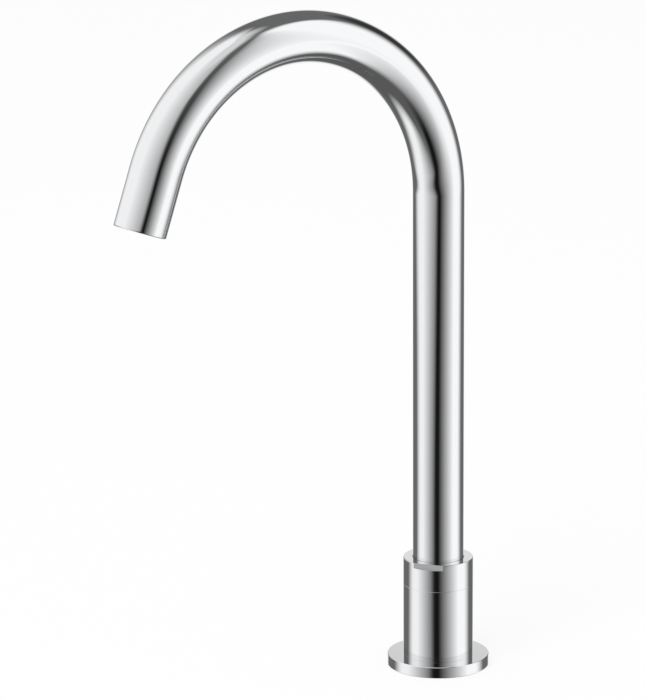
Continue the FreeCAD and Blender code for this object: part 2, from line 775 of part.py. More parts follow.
def spout_foot():
    """The brazed-in plug that the spout turns on: shoulder, two ring grooves, stop slot."""
    body = new_body("spout_foot")
    bore = foot_inside
    bearing = bearing_radius
    socket = tube_inside - s.braze_gap
    socket_top = shoulder_top + s.socket_length
    bevel = s.foot_bevel
    revolve(body, "foot_turning", [
        (bore, s.foot_bottom),
        (bearing - bevel, s.foot_bottom),
        (bearing, s.foot_bottom + bevel),
        (bearing, shoulder_bottom),
        (shoulder_radius, shoulder_bottom),
        (shoulder_radius, shoulder_top),
        (socket, shoulder_top),
        (socket, socket_top - bevel),
        (socket - bevel, socket_top),
        (bore, socket_top),
    ])
    for number, name in enumerate(("groove_lower", "groove_upper")):
        low = s.foot_bottom + s.oring_first + s.oring_pitch * number
        revolve(body, name, [
            (bearing - s.oring_depth, low),
            (bearing + s.oring_depth, low),
            (bearing + s.oring_depth, low + s.oring_groove),
            (bearing - s.oring_depth, low + s.oring_groove),
        ], kind="Groove")
    half = s.swing_limit + s.stop_slack + arcsine(pin_radius / pin_reach)
    slot_floor = pin_reach - pin_radius - s.pin_play
    slot = revolve(body, "stop_slot", [
        (slot_floor, shoulder_bottom),
        (shoulder_radius * 2, shoulder_bottom),
        (shoulder_radius * 2, shoulder_bottom + s.slot_height),
        (slot_floor, shoulder_bottom + s.slot_height),
    ], kind="Groove", angle=half * 2, midplane=True)
    slot_sketch = slot.Profile[0]
    slot_sketch.AttachmentSupport = (origin_plane(body, "YZ_Plane"), [""])
    return body


def foot_oring(label, number):
    """A squeezed O-ring in one of the foot's grooves."""
    low = s.foot_bottom + s.oring_first + s.oring_pitch * number + s.rubber_gap
    high = low + s.oring_groove - s.rubber_gap * 2
    inside = bearing_radius - s.oring_depth
    outside = bearing_bore - s.oring_gap
    corner = (outside - inside) / 4
    body = new_body(label)
    revolve(body, f"{label}_ring", [
        (inside, low + corner),
        (inside + corner, low),
        (outside - corner, low),
        (outside, low + corner),
        (outside, high - corner),
        (outside - corner, high),
        (inside + corner, high),
        (inside, high - corner),
    ])
    return body


# ---------------------------------------------------------------- water way

def water_hose():
    body = new_body("water_hose")
    bore_corner = hose_inside / cosine(FULL_TURN / 2 / HOSE_SIDES)
    section = faceted_section((hose_radius, bore_corner), HOSE_SIDES)
    swan_neck(body, "hose", section, hose_bottom, insert_top)
    return body


def hose_ferrule_inlet():
    inside = hose_radius + s.ferrule_gap
    low = hose_bottom + s.ferrule_start
    return ring("hose_ferrule_inlet", inside, inside + s.ferrule_wall, low, low + s.ferrule_length)


def hose_ferrule_outlet():
    inside = hose_radius + s.ferrule_gap
    low = insert_top + s.ferrule_start
    length = s.tip_straight - insert_top - s.ferrule_start
    body = ring("hose_ferrule_outlet", inside, inside + s.ferrule_wall, low, low + length)
    return put_in_tip(body)


def inlet_fitting():
    """The hose's lower end: a barb, a collar, and a socket with an M10 x 1 thread."""
    body = new_body("inlet_fitting")
    outside = inlet_radius
    collar = inlet_radius + s.inlet_lip
    barb_top = hose_bottom + s.ferrule_length
    thread = s.inlet_thread / 2
    revolve(body, "fitting_turning", [
        (thread, bush_bottom),
        (outside, bush_bottom),
        (outside, bush_top),
        (collar, bush_top),
        (collar, hose_bottom),
        (barb_radius, hose_bottom),
        (barb_radius, barb_top),
        (barb_bore, barb_top),
        (barb_bore, bush_bottom + s.inlet_depth),
        (thread, bush_bottom + s.inlet_depth),
    ])
    return body


def inlet_bush():
    """The plastic bush that centres the hose's end and the plug in the shank."""
    body = new_body("inlet_bush")
    drawing = Drawing(body, "bush_outline", "XY_Plane", bush_bottom)
    drawing.circle(shank_inside - s.bush_gap)
    drawing.circle(inlet_radius + s.seat_gap)
    drawing.circle(plug_radius + s.seat_gap, 0.0, plug_offset)
    pad(body, "bush", drawing, s.bush_length)
    return body


# ---------------------------------------------------------------- the sensor and its cable

def cable_plug():
    body = new_body("cable_plug")
    drawing = Drawing(body, "plug_outline", "XY_Plane", bush_bottom)
    drawing.circle(plug_radius, 0.0, plug_offset)
    pad(body, "plug", drawing, s.plug_length)
    well = Drawing(body, "well_outline", "XY_Plane", bush_bottom)
    well.circle(plug_radius - s.plug_wall, 0.0, plug_offset)
    pocket_up(body, "contact_well", well, s.plug_recess)
    return body


def sensor_cable():
    """From the plug, through two easy bends, then beside the hose to the capsule."""
    body = new_body("sensor_cable")
    start = bush_bottom + s.plug_length
    bend = s.cable_bend
    lean_cosine = 1 - (plug_offset - cable_offset) / (bend * 2)
    lean_sine = root(1 - lean_cosine * lean_cosine)
    first = start + s.cable_diameter
    last = first + bend * lean_sine * 2
    lean = math.degrees(math.acos(lean_cosine.value))
    swan_neck(body, "cable", faceted_section((cable_radius,), CABLE_SIDES, cable_offset),
              last, capsule_top)
    path = Drawing(body, "two_bends", "YZ_Plane")
    run = path.line((plug_offset, start), (plug_offset, first))
    lower = path.arc((plug_offset - bend, first), bend, 0.0, lean)
    upper = path.free_arc((cable_offset + bend, last), bend, FULL_TURN / 2, FULL_TURN / 2 + lean)
    path.place(run, 1, plug_offset, start)
    path.join(run, 2, lower, 1)
    path.fix("DistanceY", lower, first, 1)
    path.fix("DistanceY", lower, first + bend * lean_sine, 2)
    path.join(upper, 2, lower, 2)
    path.place(upper, 1, cable_offset, last)
    path.fix("DistanceY", upper, last, 3)
    draw = faceted_section((cable_radius,), CABLE_SIDES, plug_offset)
    section = draw(Drawing(body, "bends_section", "XY_Plane", start))
    bends = body.newObject("PartDesign::AdditivePipe", "cable_bends")
    bends.Profile = section.sketch
    bends.Spine = (path.sketch, ["Edge1", "Edge2", "Edge3"])
    path.sketch.Visibility = False
    section.sketch.Visibility = False
    return body


def crescent(body, name, height, shrink):
    """The sensor pocket's outline: between the aerator's wall and the insert's rim."""
    outer = pocket_radius - shrink
    inner = pocket_inner + shrink
    half = pocket_half - shrink
    drawing = Drawing(body, name, "XY_Plane", height)
    outer_y = -root(outer * outer - half * half)
    inner_y = outlet_offset - root(inner * inner - half * half)
    outer_angle = math.degrees(math.atan2(outer_y.value, half.value))
    inner_angle = math.degrees(math.atan2((inner_y - outlet_offset).value, half.value))
    rim = drawing.arc((0.0, 0.0), outer, -FULL_TURN / 2 - outer_angle, outer_angle)
    wall = drawing.arc((0.0, outlet_offset), inner, -FULL_TURN / 2 - inner_angle, inner_angle)
    left = drawing.line((-half, outer_y), (-half, inner_y))
    right = drawing.line((half, outer_y), (half, inner_y))
    for side, end, x in ((left, 1, -half), (right, 2, half)):
        drawing.join(side, 1, rim, end)
        drawing.join(side, 2, wall, end)
        drawing.fix("DistanceX", side, x, 1)
        drawing.fix("DistanceX", side, x, 2)
    return drawing


def wide_pocket(body, name, height, shrink):
    """The pocket's upper part, where the capsule is thicker: an arc and a back wall."""
    outer = pocket_radius - shrink
    half = pocket_half - shrink
    back = -pocket_back - shrink
    drawing = Drawing(body, name, "XY_Plane", height)
    outer_y = -root(outer * outer - half * half)
    angle = math.degrees(math.atan2(outer_y.value, half.value))
    rim = drawing.arc((0.0, 0.0), outer, -FULL_TURN / 2 - angle, angle)
    left = drawing.line((-half, outer_y), (-half, back))
    right = drawing.line((half, outer_y), (half, back))
    across = drawing.line((-half, back), (half, back))
    for side, end, x in ((left, 1, -half), (right, 2, half)):
        drawing.join(side, 1, rim, end)
        drawing.fix("DistanceX", side, x, 1)
        drawing.place(side, 2, x, back)
    drawing.join(across, 1, left, 2)
    drawing.join(across, 2, right, 2)
    return drawing


def outlet_insert():
    """The housing in the tip: aerator thread, sensor pocket and hose barb in one piece."""
    body = new_body("outlet_insert")
    bottom = s.insert_recess
    revolve(body, "insert_turning", [
        (0.0, bottom),
        (insert_radius, bottom),
        (insert_radius, insert_top),
        (barb_radius, insert_top),
        (barb_radius, insert_top + s.barb_length),
        (0.0, insert_top + s.barb_length),
    ])
    revolve(body, "ring_groove", [
        (insert_radius - s.insert_depth, s.insert_ring),
        (insert_radius + s.insert_depth, s.insert_ring),
        (insert_radius + s.insert_depth, s.insert_ring + s.insert_groove),
        (insert_radius - s.insert_depth, s.insert_ring + s.insert_groove),
    ], kind="Groove")
    thread = Drawing(body, "thread_outline", "XY_Plane", bottom)
    thread.circle(outlet_radius, 0.0, outlet_offset)
    pocket_up(body, "aerator_thread", thread, s.outlet_depth)
    chamber = Drawing(body, "chamber_outline", "XY_Plane", seal_seat)
    chamber.circle(outlet_radius - s.seat_width, 0.0, outlet_offset)
    pocket_up(body, "chamber", chamber, s.chamber_height)
    way = Drawing(body, "water_way_outline", "XY_Plane", seal_seat)
    way.circle(barb_bore)
    pocket_up(body, "water_way", way, insert_top + s.barb_length - seal_seat)
    lower = crescent(body, "sensor_pocket_outline", bottom, 0.0)
    pocket_up(body, "sensor_pocket", lower, pocket_step - bottom)
    upper = wide_pocket(body, "wide_pocket_outline", pocket_step, 0.0)
    pocket_up(body, "wide_pocket", upper, insert_top - pocket_step)
    return put_in_tip(body)


def insert_ring():
    low = s.insert_ring + s.rubber_gap
    body = ring("insert_ring", insert_radius - s.insert_depth, tube_inside,
                low, low + s.insert_groove - s.rubber_gap * 2)
    return put_in_tip(body)


def sensor_lens():
    body = new_body("sensor_lens")
    drawing = crescent(body, "lens_outline", lens_bottom, s.pocket_gap)
    pad(body, "lens", drawing, s.lens_thickness)
    return put_in_tip(body)


def sensor_capsule():
    """The potted sensor housing: open wells for the two diodes and the circuit board."""
    body = new_body("sensor_capsule")
    lower = crescent(body, "capsule_outline", lens_top, s.pocket_gap)
    pad(body, "capsule_nose", lower, pocket_step + s.pocket_gap - lens_top)
    upper = wide_pocket(body, "capsule_back_outline", pocket_step + s.pocket_gap, s.pocket_gap)
    pad(body, "capsule_back", upper, capsule_top - pocket_step - s.pocket_gap)
    wells = Drawing(body, "diode_wells_outline", "XY_Plane", lens_top)
    for side in (-0.5, 0.5):
        wells.circle(s.diode_diameter / 2 + s.seat_gap, side * s.diode_spacing,
                     s.diode_inset - pocket_radius)
    pocket_up(body, "diode_wells", wells, s.diode_length)
    slot = Drawing(body, "board_slot_outline", "XY_Plane", lens_top + s.diode_length)
    board_outline(slot, s.seat_gap)
    pocket_up(body, "board_slot", slot, s.board_length + s.seat_gap)
    return put_in_tip(body)


def board_outline(drawing, grow):
    """The circuit board's section, seen along the tube."""
    half = s.board_width / 2 + grow
    back = s.board_inset - pocket_radius + grow
    front = back - s.board_thickness - grow * 2
    drawing.polygon([(-half, front), (half, front), (half, back), (-half, back)])


def sensor_board():
    body = new_body("sensor_board")
    drawing = Drawing(body, "board_section", "XY_Plane", lens_top + s.diode_length)
    board_outline(drawing, 0.0)
    pad(body, "board", drawing, s.board_length)
    return put_in_tip(body)


def diode(label, side):
    """An infrared diode with its domed nose against the lens."""
    body = new_body(label)
    drawing = Drawing(body, f"{label}_outline", "XY_Plane", lens_top)
    drawing.circle(s.diode_diameter / 2, side * s.diode_spacing / 2, s.diode_inset - pocket_radius)
    body_pad = pad(body, f"{label}_pad", drawing, s.diode_length)
    round_edges(body, f"{label}_dome", body_pad, s.dome_rounding,
                lambda edge: is_rim(edge, s.diode_diameter / 2, lens_top))
    return put_in_tip(body)


# ---------------------------------------------------------------- the aerator

def aerator_housing():
    """The threaded ring that the aerator's inner parts sit in, with two key notches."""
    body = new_body("aerator_housing")
    axis = outlet_offset
    bottom = s.aerator_recess
    outer = Drawing(body, "housing_outline", "XY_Plane", bottom)
    outer.circle(aerator_radius, 0.0, axis)
    outer.circle(aerator_mouth, 0.0, axis)
    pad(body, "housing", outer, housing_top - bottom)
    bore = Drawing(body, "housing_bore_outline", "XY_Plane", lip_top)
    bore.circle(aerator_inside, 0.0, axis)
    pocket_up(body, "housing_bore", bore, housing_top - lip_top)
    keys = Drawing(body, "key_outline", "XY_Plane", bottom)
    half = s.key_width / 2
    near = aerator_mouth - s.core_gap
    far = s.outlet_thread
    for side in (-1, 1):
        keys.polygon([(near * side, axis - half), (far * side, axis - half),
                      (far * side, axis + half), (near * side, axis + half)])
    pocket_up(body, "key_notches", keys, s.key_depth)
    return put_in_tip(body)


def aerator_disc(label, radius, bottom, height, bore=None):
    """A disc or ring on the aerator's axis."""
    body = new_body(label)
    drawing = Drawing(body, f"{label}_outline", "XY_Plane", bottom)
    drawing.circle(radius, 0.0, outlet_offset)
    if bore is not None:
        drawing.circle(bore, 0.0, outlet_offset)
    pad(body, f"{label}_disc", drawing, height)
    return body


def aerator_washer():
    outside = aerator_radius - s.core_gap
    body = aerator_disc("aerator_washer", outside, housing_top, s.washer_height,
                        outside - s.washer_width)
    return put_in_tip(body)


def outlet_grid():
    """The square-hole grid that the water leaves through."""
    bottom = lip_top
    body = aerator_disc("outlet_grid", core_radius, bottom, s.grid_thickness)
    holes = Drawing(body, "grid_holes_outline", "XY_Plane", bottom)
    half = s.grid_hole / 2
    square = core_radius.value / math.sqrt(2)
    rows = int((square - half.value) / grid_pitch.value)
    for row in range(-rows, rows + 1):
        for column in range(-rows, rows + 1):
            x = grid_pitch * column
            y = outlet_offset + grid_pitch * row
            holes.polygon([(x - half, y - half), (x + half, y - half),
                           (x + half, y + half), (x - half, y + half)])
    pocket_up(body, "grid_holes", holes, s.grid_thickness)
    return put_in_tip(body)


def aerator_cartridge():
    """The cup above the grid, with a ring of jets through its floor."""
    bottom = lip_top + s.grid_thickness
    top = housing_top - s.core_gap
    body = aerator_disc("aerator_cartridge", core_radius, bottom, top - bottom)
    well = Drawing(body, "cartridge_well_outline", "XY_Plane", bottom + s.cartridge_floor)
    well.circle(core_radius - s.cartridge_wall, 0.0, outlet_offset)
    pocket_up(body, "cartridge_well", well, top - bottom - s.cartridge_floor)
    jets = Drawing(body, "jets_outline", "XY_Plane", bottom)
    for k in range(int(s.jet_count.value)):
        angle = k * FULL_TURN / s.jet_count
        jets.circle(s.jet_diameter / 2, s.jet_circle / 2 * cosine(angle),
                    outlet_offset + s.jet_circle / 2 * sine(angle))
    pocket_up(body, "jets", jets, s.cartridge_floor)
    return put_in_tip(body)


def flow_regulator():
    """The disc in the cup that holds the flow steady."""
    bottom = lip_top + s.grid_thickness + s.cartridge_floor
    body = aerator_disc("flow_regulator", core_radius - s.cartridge_wall - s.core_gap, bottom,
                        s.regulator_height, s.regulator_port / 2)
    return put_in_tip(body)


# ---------------------------------------------------------------- build, check and write

def build_all():
    return [
        base_flange(), deck_gasket(), body_seal(), base_body(), stop_pin(), threaded_shank(),
        inlet_circlip(), collar_nut(), glide_ring_lower(), glide_ring_upper(),
        clamp_rubber(), clamp_washer(), backnut(),
        spout_tube(), spout_foot(),
        foot_oring("foot_oring_lower", 0), foot_oring("foot_oring_upper", 1),
        water_hose(), hose_ferrule_inlet(), hose_ferrule_outlet(), inlet_fitting(), inlet_bush(),
        cable_plug(), sensor_cable(),
        outlet_insert(), insert_ring(), sensor_lens(), sensor_capsule(), sensor_board(),
        diode("infrared_emitter", -1), diode("infrared_receiver", 1),
        aerator_housing(), aerator_washer(), outlet_grid(), aerator_cartridge(), flow_regulator(),
    ]


def check(parts):
    """Stop on any failed object, any cut that cut nothing, and any bad solid."""
    failed = [item.Label for item in doc.Objects if {"Invalid", "Error"} & set(item.State)]
    if failed:
        raise RuntimeError(f"failed: {failed}")
    for item in doc.Objects:
        if item.TypeId in ("PartDesign::Pocket", "PartDesign::Groove"):
            removed = item.BaseFeature.Shape.Volume - item.Shape.Volume
            if removed <= 1e-6:
                raise RuntimeError(f"{item.Label} removes nothing")
    for part in parts:
        shape = part.Shape
        if shape.isNull() or not shape.isValid() or len(shape.Solids) != 1:
            raise RuntimeError(f"{part.Label} is not one valid solid")


def write(parts):
    os.makedirs(PARTS_FOLDER, exist_ok=True)
    for part in parts:
        part.Shape.exportStep(os.path.join(PARTS_FOLDER, f"{part.Label}.step"))
        box = part.Shape.BoundBox
        print(f"{part.Label:22s} {part.Shape.Volume:10.1f} mm3  "
              f"x {box.XMin:7.2f} {box.XMax:7.2f}  y {box.YMin:8.2f} {box.YMax:7.2f}  "
              f"z {box.ZMin:7.2f} {box.ZMax:7.2f}")


sub_parts = build_all()
doc.recompute()
check(sub_parts)
write(sub_parts)
print(len(sub_parts), "sub-parts written")
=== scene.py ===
import logging
import math
from dataclasses import dataclass, field
from enum import Enum
from typing import Callable, Iterable, Optional, Sequence, Union

import bmesh
import bpy
from bmesh.types import BMEdge, BMVert
from mathutils import Matrix, Vector


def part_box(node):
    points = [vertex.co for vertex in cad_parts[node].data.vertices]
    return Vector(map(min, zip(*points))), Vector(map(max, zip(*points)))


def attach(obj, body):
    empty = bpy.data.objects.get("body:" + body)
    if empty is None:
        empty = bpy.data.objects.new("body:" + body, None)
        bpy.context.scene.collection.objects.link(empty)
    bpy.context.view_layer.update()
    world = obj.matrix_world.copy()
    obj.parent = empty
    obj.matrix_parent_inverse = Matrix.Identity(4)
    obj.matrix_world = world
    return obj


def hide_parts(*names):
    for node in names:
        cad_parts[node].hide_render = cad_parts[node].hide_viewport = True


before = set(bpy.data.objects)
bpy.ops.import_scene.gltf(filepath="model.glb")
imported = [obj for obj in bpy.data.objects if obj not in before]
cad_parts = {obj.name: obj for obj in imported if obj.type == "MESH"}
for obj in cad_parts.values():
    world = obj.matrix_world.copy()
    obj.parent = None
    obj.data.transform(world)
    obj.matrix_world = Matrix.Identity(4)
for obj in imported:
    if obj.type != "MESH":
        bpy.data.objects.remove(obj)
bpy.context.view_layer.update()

# A polished sensor tap: its visible pieces turned, bent and cut as smooth meshes round the
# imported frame, their finishes, and a plain studio. Sizes are in millimetres, angles in
# degrees; +Z is up, z = 0 is the deck, and the spout reaches out along -Y.

MM = 0.001
FULL_TURN = 360.0
QUARTER_TURN = 90.0
HEXAGON = 6
MERGE = 1e-4           # vertices this close are one
FINE_STEPS = 180       # facets round the widest bright pieces
AXIS = Vector((0.0, 0.0, 1.0))
log = logging.getLogger("sensor_tap")

Number = Union[float, "Shade"]
Colour = tuple[float, float, float]
Point = tuple[float, float]
Range = tuple[float, float]
WHITE: Colour = (1.0, 1.0, 1.0)


@dataclass(frozen=True)
class Extent:
    """How far a node that is turned about Z reaches."""

    radius: float
    bottom: float
    top: float


def extent(node: str) -> Extent:
    """Read a node's reach from the frame, in millimetres."""
    low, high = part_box(node)
    return Extent(high.x / MM, low.z / MM, high.z / MM)


def of_node(node: str) -> Extent:
    """A dataclass field that holds a node's reach."""
    return field(default_factory=lambda: extent(node))


# ---- shader maths

class Shade:
    """A shader socket with arithmetic: an expression on it adds the Math nodes it needs."""

    def __init__(self, tree: "Tree", socket: Optional[bpy.types.NodeSocket]) -> None:
        """Keep the node tree and the output socket that carries the value."""
        self.tree = tree
        self.socket = socket

    def math(self, operation: str, *values: Number) -> "Shade":
        """Add one Math node: an operation, such as MULTIPLY, on these values."""
        return self.tree.add("ShaderNodeMath", {"operation": operation}, dict(enumerate(values)))

    def __add__(self, other: Number) -> "Shade":
        """Sum."""
        return self.math("ADD", self, other)

    __radd__ = __add__

    def __mul__(self, other: Number) -> "Shade":
        """Product."""
        return self.math("MULTIPLY", self, other)

    __rmul__ = __mul__

    def __sub__(self, other: Number) -> "Shade":
        """Difference."""
        return self.math("SUBTRACT", self, other)

    def __rsub__(self, other: Number) -> "Shade":
        """Difference from a number."""
        return self.math("SUBTRACT", other, self)

    def __truediv__(self, other: Number) -> "Shade":
        """Quotient."""
        return self.math("DIVIDE", self, other)

    def __pow__(self, power: float) -> "Shade":
        """Power."""
        return self.math("POWER", self, power)

    def most(self, other: Number) -> "Shade":
        """The larger of the two."""
        return self.math("MAXIMUM", self, other)

    def size(self) -> "Shade":
        """The value without its sign."""
        return self.math("ABSOLUTE", self)

    def wave(self) -> "Shade":
        """A sine wave between 0 and 1, read in radians."""
        return self.math("SINE", self) * 0.5 + 0.5

    def fraction(self) -> "Shade":
        """What is left after the whole number."""
        return self.math("FRACT", self)

    def smooth(self, low: Number, high: Number) -> "Shade":
        """0 below low, 1 above high, and a soft step between them."""
        return self.tree.add("ShaderNodeMapRange", {"interpolation_type": "SMOOTHSTEP"},
                             {"Value": self, "From Min": low, "From Max": high})

    def ramp(self, low: Number, high: Number) -> "Shade":
        """0 below low, 1 above high, and a straight line between them."""
        return self.tree.add("ShaderNodeMapRange", {"clamp": True},
                             {"Value": self, "From Min": low, "From Max": high})


class Tree:
    """The node tree of a material or of the world."""

    def __init__(self, owner: Union[bpy.types.Material, bpy.types.World]) -> None:
        """Empty the owner's node tree and keep it.

        Args:
            owner: the material or the world.
        """
        owner.use_nodes = True
        self.nodes = owner.node_tree.nodes
        self.links = owner.node_tree.links
        self.nodes.clear()

    def add(
        self,
        kind: str,
        settings: Optional[dict] = None,
        inputs: Optional[dict] = None,
        output: Union[int, str] = 0,
    ) -> Shade:
        """Add one node.

        Args:
            kind: the node's type.
            settings: its attributes, set first.
            inputs: socket name or number to a value, a colour or a Shade.
            output: which of its outputs to give back.

        Returns:
            That output, or a Shade without a socket where the node has none.
        """
        node = self.nodes.new(kind)
        for name, value in (settings or {}).items():
            setattr(node, name, value)
        for name, value in (inputs or {}).items():
            socket = node.inputs[name]
            if isinstance(value, Shade):
                self.links.new(value.socket, socket)
            elif socket.type == "RGBA":
                socket.default_value = (*value, 1.0)
            else:
                socket.default_value = value
        return Shade(self, node.outputs[output] if node.outputs else None)

    def place(self) -> Shade:
        """Object coordinates: metres in the row frame."""
        return self.add("ShaderNodeTexCoord", output="Object")

    def axes(self, vector: Shade) -> list[Shade]:
        """A vector's three numbers."""
        first = self.add("ShaderNodeSeparateXYZ", inputs={"Vector": vector})
        return [Shade(self, output) for output in first.socket.node.outputs]

    def noise(self, where: Shade, scale: float, detail: float = 2.0) -> Shade:
        """Soft noise between 0 and 1."""
        return self.add("ShaderNodeTexNoise", inputs={
            "Vector": where, "Scale": scale, "Detail": detail})

    def stretched(self, where: Shade, scale: Colour) -> Shade:
        """Coordinates scaled differently along the three axes."""
        return self.add("ShaderNodeMapping", inputs={"Vector": where, "Scale": scale})

    def blend(self, amount: Number, first: Union[Colour, Shade],
              second: Union[Colour, Shade]) -> Shade:
        """A colour between first, at 0, and second, at 1."""
        return self.add("ShaderNodeMix", {"data_type": "RGBA"},
                        {0: amount, 6: first, 7: second}, output=2)

    def bump(self, height: Shade, depth: float) -> Shade:
        """A normal bent by a height between 0 and 1 that stands for this many metres."""
        return self.add("ShaderNodeBump", inputs={"Height": height, "Distance": depth})


# ---- finishes

@dataclass(frozen=True)
class Patches:
    """Soft patches of noise: their scale, and the values where one starts and is full."""

    scale: float
    edge: Range
    detail: float = 2.0

    def over(self, tree: Tree) -> Shade:
        """0 between the patches and 1 in them."""
        return tree.noise(tree.place(), self.scale, self.detail).smooth(*self.edge)


@dataclass(frozen=True)
class Finish:
    """A surface finish: the base of every finish here."""

    name: str
    slot: str
    colour: Colour
    roughness: float = 0.4
    metal: float = 0.0

    def build(self) -> bpy.types.Material:
        """Make the material.

        Returns:
            The new material, with its output linked.
        """
        material = bpy.data.materials.new(self.name)
        tree = Tree(material)
        sockets = {"Base Color": self.colour, "Roughness": self.roughness, "Metallic": self.metal}
        sockets.update(self.detail(tree))
        shader = tree.add("ShaderNodeBsdfPrincipled", inputs=sockets)
        tree.add("ShaderNodeOutputMaterial", inputs={"Surface": shader})
        material.diffuse_color = (*self.colour, 1.0)
        return material

    def detail(self, tree: Tree) -> dict:
        """What varies over the surface, or what this finish sets beside its colour."""
        return {}


@dataclass(frozen=True)
class PolishedChrome(Finish):
    """Bright plating: a mirror with a faint polishing haze and a very shallow waviness."""

    haze: float = 0.03
    hazy: Patches = Patches(90.0, (0.4, 0.8), 3.0)
    lay: float = 0.01
    lay_scale: Colour = (1100.0, 1100.0, 160.0)
    wave_scale: float = 45.0
    wave_depth: float = 1.5e-6

    def detail(self, tree: Tree) -> dict:
        """Hazy patches and a fine lay in the sheen, over an almost level surface.

        Args:
            tree: the material's nodes.

        Returns:
            Socket names to what feeds them.
        """
        where = tree.place()
        haze = self.hazy.over(tree) * self.haze
        lay = tree.noise(tree.stretched(where, self.lay_scale), 1.0, 1.0) * self.lay
        waves = tree.noise(where, self.wave_scale, 0.0)
        return {
            "Roughness": self.roughness + haze + lay,
            "Normal": tree.bump(waves, self.wave_depth),
        }


@dataclass(frozen=True)
class TurnedMetal(Finish):
    """Metal off the lathe: fine rings along Z, and duller patches where it was handled."""

    dull: Colour = (0.40, 0.29, 0.15)
    ring_pitch: float = 0.00022
    ring_depth: float = 3e-6
    wander: float = 6.0
    wander_scale: float = 60.0
    tarnish: float = 0.45
    tarnish_sheen: float = 0.18
    tarnished: Patches = Patches(130.0, (0.42, 0.75), 4.0)

    def detail(self, tree: Tree) -> dict:
        """Rings in the bump, tarnish in the colour and the sheen.

        Args:
            tree: the material's nodes.

        Returns:
            Socket names to what feeds them.
        """
        where = tree.place()
        height = tree.axes(where)[2]
        wander = tree.noise(where, self.wander_scale) * self.wander
        rings = (height * (math.tau / self.ring_pitch) + wander).wave()
        tarnish = self.tarnished.over(tree)
        return {
            "Base Color": tree.blend(tarnish * self.tarnish, self.colour, self.dull),
            "Roughness": self.roughness + tarnish * self.tarnish_sheen,
            "Normal": tree.bump(rings, self.ring_depth),
        }


@dataclass(frozen=True)
class Moulded(Finish):
    """Moulded plastic or rubber: a fine grain, and a slight mottle of the colour."""

    grain: float = 2200.0
    grain_depth: float = 1.2e-5
    grain_sheen: float = 0.12
    mottle: Patches = Patches(160.0, (0.3, 0.7), 3.0)
    shade: float = 0.75
    coat: float = 0.0

    def detail(self, tree: Tree) -> dict:
        """Grain in the bump and the sheen, mottle in the colour.

        Args:
            tree: the material's nodes.

        Returns:
            Socket names to what feeds them.
        """
        grain = tree.noise(tree.place(), self.grain)
        darker = tuple(part * self.shade for part in self.colour)
        return {
            "Base Color": tree.blend(self.mottle.over(tree), darker, self.colour),
            "Roughness": self.roughness + grain * self.grain_sheen,
            "Normal": tree.bump(grain, self.grain_depth),
            "Coat Weight": self.coat,
        }


@dataclass(frozen=True)
class Smoked(Finish):
    """Dark clear plastic or resin: glossy, with a tinted depth and a trace of dust."""

    tint: Colour = (0.09, 0.012, 0.02)
    tinted: Patches = Patches(300.0, (0.2, 0.8), 1.0)
    dust: float = 0.3
    dusty: Patches = Patches(2600.0, (0.68, 0.78))
    coat: float = 1.0
    coat_roughness: float = 0.02

    def detail(self, tree: Tree) -> dict:
        """Tint in the colour, dust in the sheen, and a clear coat.

        Args:
            tree: the material's nodes.

        Returns:
            Socket names to what feeds them.
        """
        return {
            "Base Color": tree.blend(self.tinted.over(tree), self.colour, self.tint),
            "Roughness": self.roughness + self.dusty.over(tree) * self.dust,
            "Coat Weight": self.coat,
            "Coat Roughness": self.coat_roughness,
        }


@dataclass(frozen=True)
class CircuitBoard(Finish):
    """Solder mask over copper tracks, with tinned pads on a grid."""

    pitch: float = 0.00127
    copper: Colour = (0.10, 0.34, 0.16)
    copper_depth: float = 3.5e-5
    track_edge: Range = (0.12, 0.16)
    tin: Colour = (0.62, 0.62, 0.60)
    tin_metal: float = 0.9
    tin_sheen: float = 0.15
    pad_edge: Range = (0.025, 0.035)

    def detail(self, tree: Tree) -> dict:
        """Tracks up the board and round pads beside them.

        Args:
            tree: the material's nodes.

        Returns:
            Socket names to what feeds them.
        """
        across, _, height = tree.axes(tree.place())
        column = ((across / self.pitch).fraction() - 0.5).size()
        row = ((height / self.pitch).fraction() - 0.5).size()
        track = 1.0 - column.smooth(*self.track_edge)
        pad = 1.0 - (column * column + row * row).smooth(*self.pad_edge)
        tracked = tree.blend(track, self.colour, self.copper)
        return {
            "Base Color": tree.blend(pad, tracked, self.tin),
            "Metallic": pad * self.tin_metal,
            "Roughness": self.roughness - pad * self.tin_sheen,
            "Normal": tree.bump(track.most(pad), self.copper_depth),
        }


class Finishes(Enum):
    """Every finish on the tap."""

    CHROME = PolishedChrome("polished_chrome", "chrome", (0.86, 0.865, 0.875), 0.03, 1.0)
    BRASS = TurnedMetal("turned_brass", "brass", (0.74, 0.56, 0.27), 0.24, 1.0)
    STEEL = TurnedMetal("plain_steel", "steel", (0.60, 0.60, 0.61), 0.28, 1.0,
                        dull=(0.36, 0.36, 0.38))
    RUBBER = Moulded("moulded_rubber", "rubber", (0.028, 0.028, 0.03), 0.62, grain=1500.0)
    ACETAL = Moulded("white_acetal", "pale_plastic", (0.80, 0.80, 0.76), 0.34, shade=0.94)
    BLACK_PLASTIC = Moulded("black_plastic", "black_plastic", (0.02, 0.02, 0.022), 0.36)
    HOSE = Moulded("clear_hose", "hose_plastic", (0.80, 0.81, 0.80), 0.22, grain=700.0,
                   shade=0.93, coat=0.3)
    SHEATH = Moulded("cable_sheath", "cable_sheath", (0.022, 0.022, 0.024), 0.42)
    LENS = Smoked("smoked_lens", "lens_plastic", (0.012, 0.004, 0.007), 0.05)
    RESIN = Smoked("tinted_resin", "diode_resin", (0.05, 0.035, 0.09), 0.08,
                   tint=(0.11, 0.07, 0.16))
    BOARD = CircuitBoard("circuit_board", "board_laminate", (0.015, 0.12, 0.045), 0.38)


